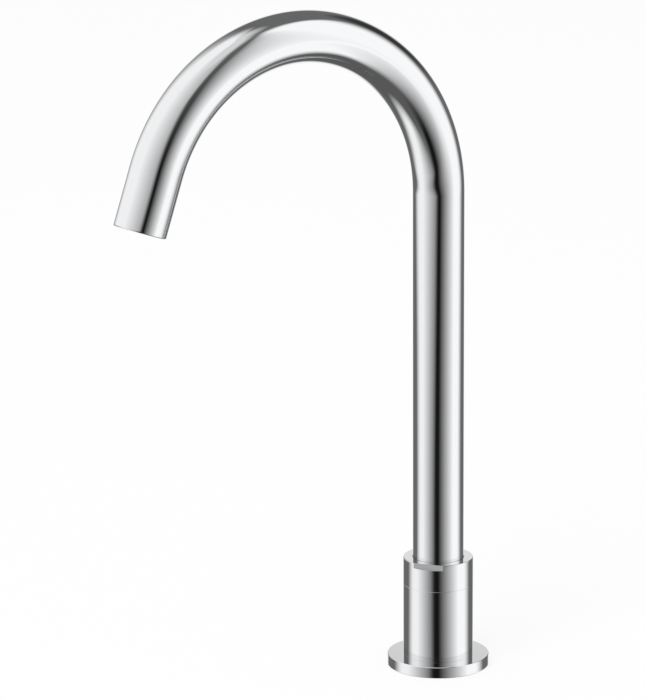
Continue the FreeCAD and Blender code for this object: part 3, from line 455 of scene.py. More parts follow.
class Palette:
    """Builds each finish once and hands out its material."""

    def __init__(self) -> None:
        """Start with nothing built."""
        self.built: dict[Finishes, bpy.types.Material] = {}

    def material(self, finish: Finishes) -> bpy.types.Material:
        """The material of a finish, built the first time it is asked for.

        Args:
            finish: which finish.

        Returns:
            Its material.
        """
        if finish not in self.built:
            self.built[finish] = finish.value.build()
        return self.built[finish]


palette = Palette()


# ---- mesh tools

def only(kind: type, items: Iterable) -> list:
    """Those of a bmesh operator's results that are of one kind."""
    return [item for item in items if isinstance(item, kind)]


@dataclass
class Corner:
    """A corner of a turned outline: radius, height, and how far it is rounded."""

    r: float
    z: float
    rounding: float = 0.0


@dataclass
class Outline:
    """An outline of corners, each rounded with a true arc.

    Each long straight run also gets a point just inside its ends, so that a broad face
    stays even under smooth shading.
    """

    corners: list[Corner]
    arc_steps: int = 6
    hold: float = 0.1
    long_run: float = 2.5

    def points(self) -> list[Point]:
        """Go all round the outline.

        Returns:
            Its (radius, height) points, in order.
        """
        places = [Vector((corner.r, corner.z)) for corner in self.corners]
        made: list[Point] = []
        for k, (here, corner) in enumerate(zip(places, self.corners)):
            following = places[(k + 1) % len(places)]
            made += self.round_corner(here, places[k - 1] - here, following - here,
                                      corner.rounding)
        return made

    def round_corner(self, here: Vector, back: Vector, on: Vector,
                     rounding: float) -> list[Point]:
        """The points at one corner.

        Args:
            here: the corner.
            back: the way to the corner before it.
            on: the way to the corner after it.
            rounding: the radius of its arc.

        Returns:
            Its (radius, height) points, in order.
        """
        half = back.angle(on) / 2.0
        reach = rounding / math.tan(half)
        to_back, to_next = back.normalized(), on.normalized()
        room = (reach + self.hold) * self.long_run
        points = [here + to_back * (reach + self.hold)] if back.length > room else []
        if rounding:
            centre = here + (to_back + to_next).normalized() * (rounding / math.sin(half))
            start, end = here + to_back * reach - centre, here + to_next * reach - centre
            for step in range(self.arc_steps + 1):
                points.append(centre + start.slerp(end, step / self.arc_steps) * rounding)
        else:
            points.append(here)
        if on.length > room:
            points.append(here + to_next * (reach + self.hold))
        return [(point.x, point.y) for point in points]


class Shape:
    """A mesh on the way to becoming a piece, in millimetres."""

    def __init__(self) -> None:
        """Start with an empty mesh."""
        self.bm = bmesh.new()

    def wire(self, points: Sequence[Point]) -> list:
        """Lay a closed outline in the XZ plane.

        Args:
            points: its (radius, height) points.

        Returns:
            Its vertices and edges.
        """
        verts = [self.bm.verts.new((r, 0.0, z)) for r, z in points]
        edges = [self.bm.edges.new(pair) for pair in zip(verts, verts[1:] + verts[:1])]
        return verts + edges

    def turn(self, outline: Outline, steps: int = 144) -> "Shape":
        """Turn a closed outline all the way round Z.

        Args:
            outline: the outline.
            steps: how many facets it has.

        Returns:
            This shape.
        """
        bmesh.ops.spin(self.bm, geom=self.wire(outline.points()), cent=(0, 0, 0), axis=AXIS,
                       angle=math.tau, steps=steps, use_merge=True)
        return self.tidy()

    def thread(self, section: Sequence[Point], pitch: float, turns: int, steps: int) -> None:
        """Wind a closed section into a helical ridge about Z, one turn above another.

        Args:
            section: its (radius, height) points at the start.
            pitch: how far it climbs in a turn.
            turns: how many turns.
            steps: how many facets a turn has.
        """
        before = set(self.bm.faces)
        bmesh.ops.spin(self.bm, geom=self.wire(section), cent=(0, 0, 0), axis=AXIS,
                       dvec=(0.0, 0.0, pitch / steps), angle=math.tau, steps=steps)
        first = [face for face in self.bm.faces if face not in before]
        for turn in range(1, turns):
            made = bmesh.ops.duplicate(self.bm, geom=first)["geom"]
            bmesh.ops.translate(self.bm, vec=AXIS * pitch * turn, verts=only(BMVert, made))
        bmesh.ops.remove_doubles(self.bm, verts=self.bm.verts, dist=MERGE)
        ends = [edge for edge in self.bm.edges if edge.is_boundary]
        bmesh.ops.holes_fill(self.bm, edges=ends, sides=0)
        self.tidy()

    def tidy(self) -> "Shape":
        """Merge doubles and point the faces outwards.

        Returns:
            This shape.
        """
        bmesh.ops.remove_doubles(self.bm, verts=self.bm.verts, dist=MERGE)
        bmesh.ops.recalc_face_normals(self.bm, faces=self.bm.faces)
        return self

    def split(self, place: Vector, normal: Vector, above: float = -math.inf) -> None:
        """Cut new edges where a plane crosses the faces.

        Args:
            place: a point on the plane.
            normal: the plane's normal.
            above: the height that a face has to be above to be cut.
        """
        faces = [f for f in self.bm.faces if min(v.co.z for v in f.verts) >= above]
        edges = {edge for face in faces for edge in face.edges}
        verts = {vert for face in faces for vert in face.verts}
        bmesh.ops.bisect_plane(self.bm, geom=[*verts, *edges, *faces], plane_co=place,
                               plane_no=normal)

    def slice_off(self, place: Vector, normal: Vector) -> None:
        """Cut off what lies past a plane and close the cut with one flat face.

        Args:
            place: a point on the plane.
            normal: the plane's normal, towards what goes.
        """
        everything = [*self.bm.verts, *self.bm.edges, *self.bm.faces]
        made = bmesh.ops.bisect_plane(self.bm, geom=everything, plane_co=place, plane_no=normal,
                                      clear_outer=True)
        bmesh.ops.edgeloop_fill(self.bm, edges=only(BMEdge, made["geom_cut"]))

    def draw_in(self, bound: Callable[[float], float]) -> None:
        """Move each vertex in to the greatest radius that is allowed at its height.

        Args:
            bound: gives that radius for a height.
        """
        for vert in self.bm.verts:
            radius, allowed = vert.co.xy.length, bound(vert.co.z)
            if radius > allowed:
                vert.co.xy *= allowed / radius

    def release(self, name: str, crease: float = 50.0) -> bpy.types.Object:
        """Make the object, in metres.

        Args:
            name: its name.
            crease: edges that turn more than this many degrees stay sharp.

        Returns:
            The new object.
        """
        bmesh.ops.scale(self.bm, vec=(MM, MM, MM), verts=self.bm.verts)
        for face in self.bm.faces:
            face.smooth = True
        mesh = bpy.data.meshes.new(name)
        self.bm.to_mesh(mesh)
        self.bm.free()
        mesh.set_sharp_from_angle(angle=math.radians(crease))
        made = bpy.data.objects.new(name, mesh)
        bpy.context.scene.collection.objects.link(made)
        return made

    def finish(self, name: str, finish: Finishes, body: str, *stands_for: str,
               crease: float = 50.0) -> bpy.types.Object:
        """Make the piece, on its body.

        Args:
            name: the piece's name.
            finish: its finish.
            body: the body that it rides on.
            stands_for: the nodes that it replaces.
            crease: edges that turn more than this many degrees stay sharp.

        Returns:
            The new object.
        """
        piece = self.release(name, crease)
        piece.data.materials.append(palette.material(finish))
        even = piece.modifiers.new("even_faces", "WEIGHTED_NORMAL")
        even.keep_sharp = True
        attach(piece, body)
        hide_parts(*stands_for)
        log.info("%s: %d faces on %s", name, len(piece.data.polygons), body)
        return piece


class Sweep:
    """A ring of edges that is pushed along a path and leaves a skin behind it."""

    def __init__(self, shape: Shape, radius: float, place: Matrix, steps: int) -> None:
        """Lay the first ring.

        Args:
            shape: the mesh that it belongs to.
            radius: its radius.
            place: its centre and direction: it moves along this matrix's Z axis.
            steps: how many edges it has.
        """
        self.bm = shape.bm
        self.radius = radius
        self.frame = place
        made = bmesh.ops.create_circle(self.bm, radius=radius, segments=steps, matrix=place)
        self.edges = list({edge for vert in made["verts"] for edge in vert.link_edges})

    def push(self, rise: float, radius: Optional[float] = None) -> "Sweep":
        """Push the ring on, or back.

        Args:
            rise: how far, along its direction.
            radius: its new radius, if that changes.

        Returns:
            This sweep.
        """
        radius = radius or self.radius
        made = bmesh.ops.extrude_edge_only(self.bm, edges=self.edges)["geom"]
        verts = only(BMVert, made)
        fresh = set(verts)
        self.edges = [edge for edge in only(BMEdge, made) if fresh.issuperset(edge.verts)]
        scale = radius / self.radius
        step = Matrix.Translation((0.0, 0.0, rise)) @ Matrix.Diagonal((scale, scale, 1.0, 1.0))
        bmesh.ops.transform(self.bm, matrix=self.frame @ step @ self.frame.inverted(), verts=verts)
        self.frame = self.frame @ Matrix.Translation((0.0, 0.0, rise))
        self.radius = radius
        return self

    def bend(self, centre: Vector, angle: float, steps: int) -> None:
        """Turn the ring about an axis along X.

        Args:
            centre: a point on that axis.
            angle: how far, in degrees.
            steps: how many facets that takes.
        """
        turn = math.radians(angle)
        verts = list({vert for edge in self.edges for vert in edge.verts})
        made = bmesh.ops.spin(self.bm, geom=verts + self.edges, cent=centre, axis=(1, 0, 0),
                              angle=turn, steps=steps)
        self.edges = only(BMEdge, made["geom_last"])
        about = Matrix.Translation(centre)
        self.frame = about @ Matrix.Rotation(turn, 4, "X") @ about.inverted() @ self.frame


# ---- base: flange, body, shank

@dataclass
class Base:
    """The flange, the short body and the threaded shank below them."""

    flange: Extent = of_node("base_flange")
    body: Extent = of_node("base_body")
    collar: Extent = of_node("collar_nut")
    shank: Extent = of_node("threaded_shank")
    edge: float = 0.06
    flange_gap: float = 0.2
    flange_chamfer: float = 0.2
    flange_foot: float = 0.2
    gasket_rim: float = 2.0
    gasket_width: float = 4.0
    gasket_depth: float = 1.5
    thread_gap: float = 0.05
    seam: float = 0.06
    neck_wall: float = 1.6
    collar_skirt: float = 1.75
    ledge_height: float = 43.0
    ledge_width: float = 2.8
    shank_bore: float = 10.5
    shank_chamfer: float = 1.0
    core_bevel: float = 0.2
    core_rounding: float = 0.1
    core_steps: int = 96
    clip_edge: float = 1.8
    clip_groove: float = 1.2
    clip_depth: float = 0.8
    thread_pitch: float = 1.5
    thread_depth: float = 0.9
    thread_flat: float = 0.19
    thread_steps: int = 72

    def build(self) -> None:
        """Build the three pieces."""
        self.build_flange()
        self.build_body()
        self.build_shank()

    def build_flange(self) -> None:
        """A flat disc with a bevelled rim and the gasket's groove below."""
        edge, radius, top = self.edge, self.flange.radius, self.flange.top
        bore = self.shank.radius + self.flange_gap
        groove_out = radius - self.gasket_rim
        groove_in = groove_out - self.gasket_width
        Shape().turn(Outline([
            Corner(bore, 0.0),
            Corner(groove_in, 0.0),
            Corner(groove_in, self.gasket_depth),
            Corner(groove_out, self.gasket_depth),
            Corner(groove_out, 0.0),
            Corner(radius - self.flange_foot, 0.0, edge),
            Corner(radius, self.flange_foot, edge),
            Corner(radius, top - self.flange_chamfer, edge * 2),
            Corner(radius - self.flange_chamfer, top, edge * 2),
            Corner(bore, top),
        ]), FINE_STEPS).finish("flange_disc", Finishes.CHROME, "base", "base_flange")

    def build_body(self) -> None:
        """The body: its threaded foot, its bearing bore and the neck inside the collar nut."""
        radius, bottom, seam = self.body.radius, self.body.bottom, self.collar.bottom
        neck = radius - self.collar_skirt - self.thread_gap
        neck_bore = neck - self.neck_wall
        thread = self.shank.radius + self.thread_gap
        bearing = neck_bore - self.ledge_width
        Shape().turn(Outline([
            Corner(thread, bottom),
            Corner(radius, bottom, self.edge),
            Corner(radius, seam - self.seam, self.edge),
            Corner(radius - self.seam, seam, self.edge),
            Corner(neck, seam),
            Corner(neck, self.body.top),
            Corner(neck_bore, self.body.top),
            Corner(neck_bore, self.ledge_height),
            Corner(bearing, self.ledge_height),
            Corner(bearing, self.shank.top),
            Corner(thread, self.shank.top),
        ])).finish("short_body", Finishes.CHROME, "base", "base_body")

    def build_shank(self) -> None:
        """The shank: a bored core with the circlip's groove, and its real helical thread."""
        radius, low, high = self.shank.radius, self.shank.bottom, self.shank.top
        core, bore, bevel = radius - self.thread_depth, self.shank_bore, self.shank_chamfer
        groove = low + self.clip_edge
        clip = bore + self.clip_depth
        shape = Shape().turn(Outline([
            Corner(bore, low, self.core_bevel),
            Corner(core - self.core_bevel, low, self.core_rounding),
            Corner(core, low + self.core_bevel, self.core_rounding),
            Corner(core, high),
            Corner(bore, high),
            Corner(bore, groove + self.clip_groove),
            Corner(clip, groove + self.clip_groove),
            Corner(clip, groove),
            Corner(bore, groove),
        ]), self.core_steps)
        half_crest = self.thread_flat / 2
        half_root = self.thread_pitch / 2 - half_crest
        start = low + self.thread_pitch / 2
        shape.thread([
            (core - self.edge, start - half_root),
            (radius, start - half_crest),
            (radius, start + half_crest),
            (core - self.edge, start + half_root),
        ], self.thread_pitch, int((high - low) / self.thread_pitch) - 1, self.thread_steps)
        shape.draw_in(lambda z: radius - max(0.0, low + bevel - z, z - high + bevel))
        shape.finish("shank_with_thread", Finishes.BRASS, "base", "threaded_shank", crease=25.0)


# ---- collar nut

@dataclass
class CollarNut:
    """The gland nut that holds the spout down, with two spanner flats at its top."""

    outside: Extent = of_node("collar_nut")
    tube: Extent = of_node("spout_tube")
    skirt: float = 1.75
    web: float = 3.0
    bore_gap: float = 0.2
    seam: float = 0.12
    rounding: float = 0.3
    edge: float = 0.06
    flat_depth: float = 1.75
    flat_height: float = 2.6
    flat_angle: float = -55.0
    step: float = 0.02

    def build(self) -> None:
        """Turn the nut, then set its two flats in."""
        radius, bottom, top = self.outside.radius, self.outside.bottom, self.outside.top
        thread = radius - self.skirt
        bore = self.tube.radius + self.bore_gap
        ledge = top - self.flat_height
        shape = Shape().turn(Outline([
            Corner(thread, bottom),
            Corner(radius - self.seam, bottom, self.edge),
            Corner(radius, bottom + self.seam, self.edge),
            Corner(radius, ledge),
            Corner(radius, ledge + self.step),
            Corner(radius, top, self.rounding),
            Corner(bore, top, self.edge),
            Corner(bore, top - self.web),
            Corner(thread, top - self.web),
        ]), FINE_STEPS)
        for angle in (self.flat_angle, self.flat_angle + FULL_TURN / 2):
            self.set_flat(shape, math.radians(angle), ledge)
        shape.finish("collar", Finishes.CHROME, "base", "collar_nut", crease=20.0)

    def set_flat(self, shape: Shape, angle: float, ledge: float) -> None:
        """Bring what stands past one flat back to it, above the ledge.

        Args:
            shape: the turned nut.
            angle: the flat's direction, in radians.
            ledge: the height that the flat ends at.
        """
        out = Vector((math.cos(angle), math.sin(angle), 0.0))
        reach = self.outside.radius - self.flat_depth
        level = ledge + self.step / 2
        shape.split(out * reach, out, above=level)
        for vert in shape.bm.verts:
            past = vert.co.dot(out) - reach
            if past > 0.0 and vert.co.z > level:
                vert.co -= out * past
        shape.tidy()


# ---- clamp below the deck

@dataclass
class Clamp:
    """The rubber ring, the steel ring and the backnut that draw the tap down."""

    rubber: Extent = of_node("clamp_rubber")
    washer: Extent = of_node("clamp_washer")
    nut: Extent = of_node("backnut")
    shank: Extent = of_node("threaded_shank")
    ring_gap: float = 0.4
    rubber_rounding: float = 0.5
    washer_rounding: float = 0.25
    thread_gap: float = 0.05
    bevel_height: float = 1.2
    bore_bevel: float = 0.9

    def build(self) -> None:
        """Build the three pieces."""
        self.build_ring("clamp_rubber_ring", self.rubber, self.rubber_rounding,
                        Finishes.RUBBER, "clamp_rubber")
        self.build_ring("clamp_steel_ring", self.washer, self.washer_rounding,
                        Finishes.STEEL, "clamp_washer")
        self.build_nut()

    def build_ring(self, name: str, size: Extent, rounding: float, finish: Finishes,
                   node: str) -> None:
        """A plain ring with rounded edges.

        Args:
            name: the piece's name.
            size: the ring's reach.
            rounding: the radius of its four edges.
            finish: its finish.
            node: the node that it replaces.
        """
        bore = self.shank.radius + self.ring_gap
        Shape().turn(Outline([
            Corner(bore, size.bottom, rounding),
            Corner(size.radius, size.bottom, rounding),
            Corner(size.radius, size.top, rounding),
            Corner(bore, size.top, rounding),
        ])).finish(name, finish, "clamp", node)

    def build_nut(self) -> None:
        """A turned blank with its corners bevelled, then six flats cut from it."""
        corner, low, high = self.nut.radius, self.nut.bottom, self.nut.top
        flat = corner * math.cos(math.pi / HEXAGON)
        bore = self.shank.radius + self.thread_gap
        shape = Shape().turn(Outline([
            Corner(bore, low + self.bore_bevel),
            Corner(bore + self.bore_bevel, low),
            Corner(flat, low),
            Corner(corner, low + self.bevel_height),
            Corner(corner, high - self.bevel_height),
            Corner(flat, high),
            Corner(bore + self.bore_bevel, high),
            Corner(bore, high - self.bore_bevel),
        ]))
        for side in range(HEXAGON):
            angle = (side + 0.5) * math.tau / HEXAGON
            out = Vector((math.cos(angle), math.sin(angle), 0.0))
            shape.slice_off(out * flat, out)
        shape.tidy().finish("hexagon_backnut", Finishes.BRASS, "backnut", "backnut", crease=15.0)


# ---- swan neck

@dataclass
class SwanNeck:
    """The spout tube: up from the collar nut, round the arc and down to the outlet."""

    size: Extent = of_node("spout_tube")
    wall: float = 1.2
    arc_radius: float = 82.5
    arc_turn: float = 160.5
    tip_straight: float = 28.0
    tip_rounding: float = 0.6
    inner_rounding: float = 0.25
    hold: float = 0.15
    round_steps: int = 5
    ring_steps: int = 144
    bend_steps: int = 140

    @property
    def arc_height(self) -> float:
        """Height of the arc's centre above the deck."""
        return self.size.top - self.arc_radius - self.size.radius

    @property
    def centre(self) -> Vector:
        """Centre of the arc."""
        return Vector((0.0, -self.arc_radius, self.arc_height))

    def tip(self) -> Matrix:
        """Place of the outlet.

        Returns:
            Its matrix: its Z axis runs back up the tube, and its -Y is towards the user.
        """
        turn = math.radians(self.arc_turn)
        reach = self.arc_radius * (1 - math.cos(turn)) + self.tip_straight * math.sin(turn)
        drop = self.arc_radius * math.sin(turn) + self.tip_straight * math.cos(turn)
        place = Matrix.Translation((0.0, -reach, self.arc_height + drop))
        return place @ Matrix.Rotation(turn - math.pi, 4, "X")

    def build(self) -> None:
        """Push one ring out along the outside, over the outlet's edge and back inside."""
        shape = Shape()
        outer, inner = self.size.radius, self.size.radius - self.wall
        column = self.arc_height - self.size.bottom
        tip = self.tip_straight - self.tip_rounding - self.hold
        skin = Sweep(shape, inner, Matrix.Translation(AXIS * self.size.bottom), self.ring_steps)
        skin.push(0.0, outer).push(self.hold).push(column - self.hold)
        skin.bend(self.centre, self.arc_turn, self.bend_steps)
        skin.push(tip).push(self.hold)
        self.round_over(skin, self.tip_rounding, outer - self.tip_rounding, opening=True)
        skin.push(0.0, inner + self.inner_rounding)
        self.round_over(skin, self.inner_rounding, inner + self.inner_rounding, opening=False)
        skin.push(-self.hold).push(self.inner_rounding + self.hold - self.tip_straight)
        skin.bend(self.centre, -self.arc_turn, self.bend_steps)
        skin.push(-column)
        shape.tidy().finish("swan_neck_tube", Finishes.CHROME, "spout", "spout_tube")

    def round_over(self, skin: Sweep, rounding: float, middle: float, opening: bool) -> None:
        """Take the ring over a rounded edge at the outlet.

        Args:
            skin: the ring.
            rounding: the edge's radius.
            middle: the radius that the edge's arc is centred on.
            opening: True from the outside to the face, False from the face to the bore.
        """
        sign = 1.0 if opening else -1.0
        risen = 0.0 if opening else 1.0
        for step in range(1, self.round_steps + 1):
            angle = math.radians(QUARTER_TURN * step / self.round_steps)
            level, out = math.sin(angle), math.cos(angle)
            if not opening:
                level, out = out, level
            skin.push((level - risen) * rounding, middle + sign * out * rounding)
            risen = level


# ---- outlet

@dataclass
class Outlet:
    """The aerator's ring and grid, seen in the tube's end."""

    tip: Matrix
    offset: float = 1.981
    recess: float = 0.9
    radius: float = 8.2
    mouth: float = 6.6
    bore: float = 7.3
    top: float = 8.6
    lip: float = 1.2
    edge: float = 0.15
    key_half: float = 0.9
    key_depth: float = 0.8
    step: float = 0.02
    grid_radius: float = 7.2
    grid_pitch: float = 2.1
    grid_bar: float = 0.6
    grid_rows: int = 5
    grid_thickness: float = 0.9
    hole_corner_faces: int = 3

    def build(self) -> None:
        """Build the two pieces."""
        self.build_ring()
        self.build_grid()

    @property
    def axis(self) -> Matrix:
        """Place of the aerator's axis."""
        return self.tip @ Matrix.Translation((0.0, self.offset, 0.0))

    def build_ring(self) -> None:
        """The threaded ring, with two key notches across its face."""
        low = self.recess
        shape = Shape().turn(Outline([
            Corner(self.mouth, low, self.edge),
            Corner(self.radius, low, self.edge),
            Corner(self.radius, self.top, self.edge),
            Corner(self.bore, self.top),
            Corner(self.bore, low + self.lip),
            Corner(self.mouth, low + self.lip),
        ], arc_steps=4))
        floor = low + self.key_depth
        across = Vector((0.0, 1.0, 0.0))
        shape.split(AXIS * floor, AXIS)
        for side in (-1.0, 1.0):
            for out in (self.key_half, self.key_half + self.step):
                shape.split(across * side * out, across)
        for vert in shape.bm.verts:
            if abs(vert.co.y) < self.key_half + self.step / 2 and vert.co.z < floor:
                vert.co.z = floor
        shape.tidy()
        bmesh.ops.transform(shape.bm, matrix=self.axis, verts=shape.bm.verts)
        shape.finish("aerator_ring", Finishes.BRASS, "aerator_housing", "aerator_housing",
                     crease=30.0)

    def build_grid(self) -> None:
        """Bars between square holes, with a rim out to the ring."""
        shape = Shape()
        bm = shape.bm
        bmesh.ops.create_grid(bm, x_segments=self.grid_rows, y_segments=self.grid_rows,
                              size=self.grid_rows * self.grid_pitch / 2)
        bmesh.ops.inset_individual(bm, faces=bm.faces, thickness=self.grid_bar / 2)
        holes = [face for face in bm.faces
                 if all(len(v.link_faces) == self.hole_corner_faces for v in face.verts)]
        bmesh.ops.delete(bm, geom=holes, context="FACES_ONLY")
        outer = [edge for edge in bm.edges if edge.is_boundary
                 and max(abs(n) for v in edge.verts for n in v.co.xy) > self.rim_start]
        for vert in only(BMVert, bmesh.ops.extrude_edge_only(bm, edges=outer)["geom"]):
            vert.co.xy *= self.grid_radius / vert.co.xy.length
        shape.draw_in(lambda z: self.grid_radius)
        shape.tidy()
        made = bmesh.ops.extrude_face_region(bm, geom=bm.faces[:])["geom"]
        bmesh.ops.translate(bm, vec=AXIS * self.grid_thickness, verts=only(BMVert, made))
        shape.tidy()
        place = self.axis @ Matrix.Translation((0.0, 0.0, self.recess + self.lip))
        bmesh.ops.transform(bm, matrix=place, verts=bm.verts)
        shape.finish("outlet_mesh", Finishes.ACETAL, "aerator_core", "outlet_grid", crease=30.0)

    @property
    def rim_start(self) -> float:
        """Just inside the lattice's outer edge."""
        return self.grid_rows * self.grid_pitch / 2 - self.step


# ---- the frame's own pieces

DRESSED: dict[Finishes, tuple[str, ...]] = {
    Finishes.BRASS: ("spout_foot", "inlet_fitting"),
    Finishes.STEEL: ("stop_pin", "inlet_circlip", "hose_ferrule_inlet", "hose_ferrule_outlet"),
    Finishes.RUBBER: ("deck_gasket", "body_seal", "foot_oring_lower", "foot_oring_upper",
                      "insert_ring", "aerator_washer"),
    Finishes.ACETAL: ("glide_ring_lower", "glide_ring_upper", "inlet_bush", "aerator_cartridge",
                      "flow_regulator"),
    Finishes.BLACK_PLASTIC: ("outlet_insert", "sensor_capsule", "cable_plug"),
    Finishes.HOSE: ("water_hose",),
    Finishes.SHEATH: ("sensor_cable",),
    Finishes.LENS: ("sensor_lens",),
    Finishes.RESIN: ("infrared_emitter", "infrared_receiver"),
    Finishes.BOARD: ("sensor_board",),
}


def dress_nodes() -> None:
    """Give each node that keeps its own mesh its finish."""
    for finish, names in DRESSED.items():
        for name in names:
            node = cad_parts[name]
            for slot in node.material_slots:
                slot.material = palette.material(finish)
            log.info("%s: dressed in %s", name, finish.value.name)


# ---- studio

@dataclass
class Tent:
    """The light tent that only reflections see: soft panels round a dark upright line.

    Levels are read by the direction from the tap: bearing in degrees from the front of the
    tent, positive to the right of it, and height in degrees above the horizon. A Range is
    where a step in the light starts and ends. What a table's edge below the horizon pulls
    aside is a pull, in degrees. The last five fields are read while the glow is built.
    """

    radius: float = 20000.0
    facets: tuple[int, int] = (64, 32)
    front: Point = (0.8, -0.6)
    second_mirror: Range = (1.4, 1.6)
    horizon: Range = (-14.0, 0.0)
    table_height: float = -15.5
    table_edge: Range = (0.0, 8.0)
    # the dark line: its bearing at the foot, and (from, to, degrees) for each lean
    line_foot: float = 2.0
    line_leans: tuple[tuple[float, float, float], ...] = (
        (-20.0, 12.0, 15.0), (10.0, 40.0, 6.0), (38.0, 66.0, 28.0))
    line_pull: float = 7.0
    line_width: float = 22.0
    panel_foot: Range = (-82.0, -50.0)
    # the left panel
    left_start: float = -114.0
    left_swing: float = 34.0
    left_top: Range = (50.0, 80.0)
    left_pull: float = 9.0
    left_soft: float = 24.0
    left_soft_swing: float = 4.0
    left_soft_pull: float = 5.0
    fade_start: float = -72.0
    fade_stop: float = 3.0
    fade_pivot: float = -20.0
    fade_leans: Point = (0.95, 1.65)
    fade_pull: float = 20.0
    # the right panel
    right_level: float = 1.08
    right_gap: float = 1.0
    right_full: float = 75.0
    right_full_pull: float = 6.0
    right_growth: float = 1.3
    right_stop: float = 119.0
    right_stop_pull: float = 8.0
    right_corner: float = 28.0
    right_soft: float = 21.0
    right_soft_swing: float = 5.0
    arch_middle: float = 78.0
    arch_width: float = 10.0
    arch_top: Range = (58.0, 74.0)
    # overhead, behind and between the panels
    ceiling_level: float = 0.75
    ceiling_edge: Range = (50.0, 68.0)
    ceiling_right: Range = (20.0, 80.0)
    ceiling_right_back: float = 17.0
    ceiling_behind: Range = (-180.0, -140.0)
    ceiling_behind_back: float = 14.0
    backdrop_side: Range = (148.0, 172.0)
    backdrop_foot: Range = (-52.0, -34.0)
    backdrop_top: Range = (12.0, 30.0)
    wall_level: float = 0.15
    floor_level: float = 0.11
    wall_foot: Range = (-60.0, -30.0)
    gap_side: Range = (6.0, 24.0)
    gap_top: Range = (10.0, 64.0)
    gap_foot: Range = (-68.0, -38.0)
    gap_depth: float = 0.94
    post_middle: Point = (143.0, 26.0)
    post_size: Point = (20.0, 22.0)
    post_edge: Range = (0.1, 1.0)
    post_depth: float = 0.75
    # degrees to the right of the front and above the horizon; 1 above the horizon and 0
    # below it; 1 at the table's edge and 0 away from it; the dark line's bearing
    bearing: Shade = field(init=False)
    height: Shade = field(init=False)
    above: Shade = field(init=False)
    table: Shade = field(init=False)
    line: Shade = field(init=False)

    def build(self) -> None:
        """A sphere whose glow varies with direction."""
        shape = Shape()
        across, up = self.facets
        bmesh.ops.create_uvsphere(shape.bm, u_segments=across, v_segments=up, radius=self.radius)
        tent = shape.release("light_tent")
        tent.data.materials.append(self.material())
        tent.visible_camera = tent.visible_diffuse = tent.visible_shadow = False

    def material(self) -> bpy.types.Material:
        """The tent's glow: level 1 is a white panel.

        Returns:
            The material.
        """
        material = bpy.data.materials.new("tent_glow")
        tree = Tree(material)
        self.read_direction(tree)
        panels = self.left().most(self.right()) * self.height.smooth(*self.panel_foot)
        level = panels.most(self.ceiling()).most(self.behind()).most(self.wall())
        glow = tree.add("ShaderNodeEmission", inputs={"Color": WHITE, "Strength": level})
        tree.add("ShaderNodeOutputMaterial", inputs={"Surface": glow})
        return material

    def read_direction(self, tree: Tree) -> None:
        """Read where a reflection looks, and where the dark line is at that height.

        Two of the tap's surfaces that mirror each other see the tent's lower half, as they
        do over a table.

        Args:
            tree: the glow's nodes.
        """
        way = tree.add("ShaderNodeVectorMath", {"operation": "NORMALIZE"}, {0: tree.place()})
        x, y, z = tree.axes(way)
        east, south = self.front
        across = x * -south + y * east
        towards = x * east + y * south
        self.bearing = across.math("ARCTAN2", across, towards) * math.degrees(1.0)
        height = z.math("ARCSINE", z) * math.degrees(1.0)
        mirrors = tree.add("ShaderNodeLightPath", output="Glossy Depth")
        self.height = height - (height + height.size()) * mirrors.smooth(*self.second_mirror)
        self.above = self.height.smooth(*self.horizon)
        self.table = 1.0 - (self.height - self.table_height).size().smooth(*self.table_edge)
        self.line = self.line_foot - self.table * self.line_pull
        for low, high, lean in self.line_leans:
            self.line = self.line + self.height.ramp(low, high) * lean

    def left(self) -> Shade:
        """The left panel: it starts softly and fades away towards the line.

        Returns:
            Its level.
        """
        swing = self.above + self.height.smooth(*self.left_top)
        start = self.table * self.left_pull - swing * self.left_swing + self.left_start
        soft = self.above * self.left_soft_swing + self.left_soft
        soft = soft - self.table * self.left_soft_pull
        low_lean, high_lean = self.fade_leans
        risen = self.height - self.fade_pivot
        stop = (risen * low_lean).most(risen * high_lean) + self.fade_stop
        stop = stop - self.table * self.fade_pull
        level = self.bearing.smooth(start - soft, start + soft)
        level = level * (1.0 - self.bearing.ramp(self.fade_start, stop))
        return level * (1.0 - self.bearing.smooth(self.line - self.line_width, self.line))

    def right(self) -> Shade:
        """The right panel: it grows out of the line and has an arched top.

        Returns:
            Its level.
        """
        full = self.right_full - self.table * self.right_full_pull
        grown = self.bearing.ramp(self.line + self.right_gap, full) ** self.right_growth
        corner = (self.height * -1.0 - self.right_corner).most(0.0)
        stop = self.right_stop - self.table * self.right_stop_pull - corner
        soft = self.right_soft - self.above * self.right_soft_swing
        ended = 1.0 - self.bearing.smooth(stop - soft, stop + soft)
        arch = (self.bearing - self.arch_middle) / self.arch_width
        under = 1.0 - (self.height + arch * arch).smooth(*self.arch_top)
        return grown * ended * under * self.right_level

    def ceiling(self) -> Shade:
        """The panel overhead, drawn back above the right panel's arch and behind the tap.

        Returns:
            Its level.
        """
        back = self.bearing.ramp(*self.ceiling_right) * self.ceiling_right_back
        rear = (1.0 - self.bearing.ramp(*self.ceiling_behind)) * self.ceiling_behind_back
        return (self.height - (back + rear)).smooth(*self.ceiling_edge) * self.ceiling_level

    def behind(self) -> Shade:
        """The white backdrop behind the tap.

        Returns:
            Its level.
        """
        sides = self.bearing.size().smooth(*self.backdrop_side)
        level = sides * self.height.smooth(*self.backdrop_foot)
        return level * (1.0 - self.height.smooth(*self.backdrop_top))

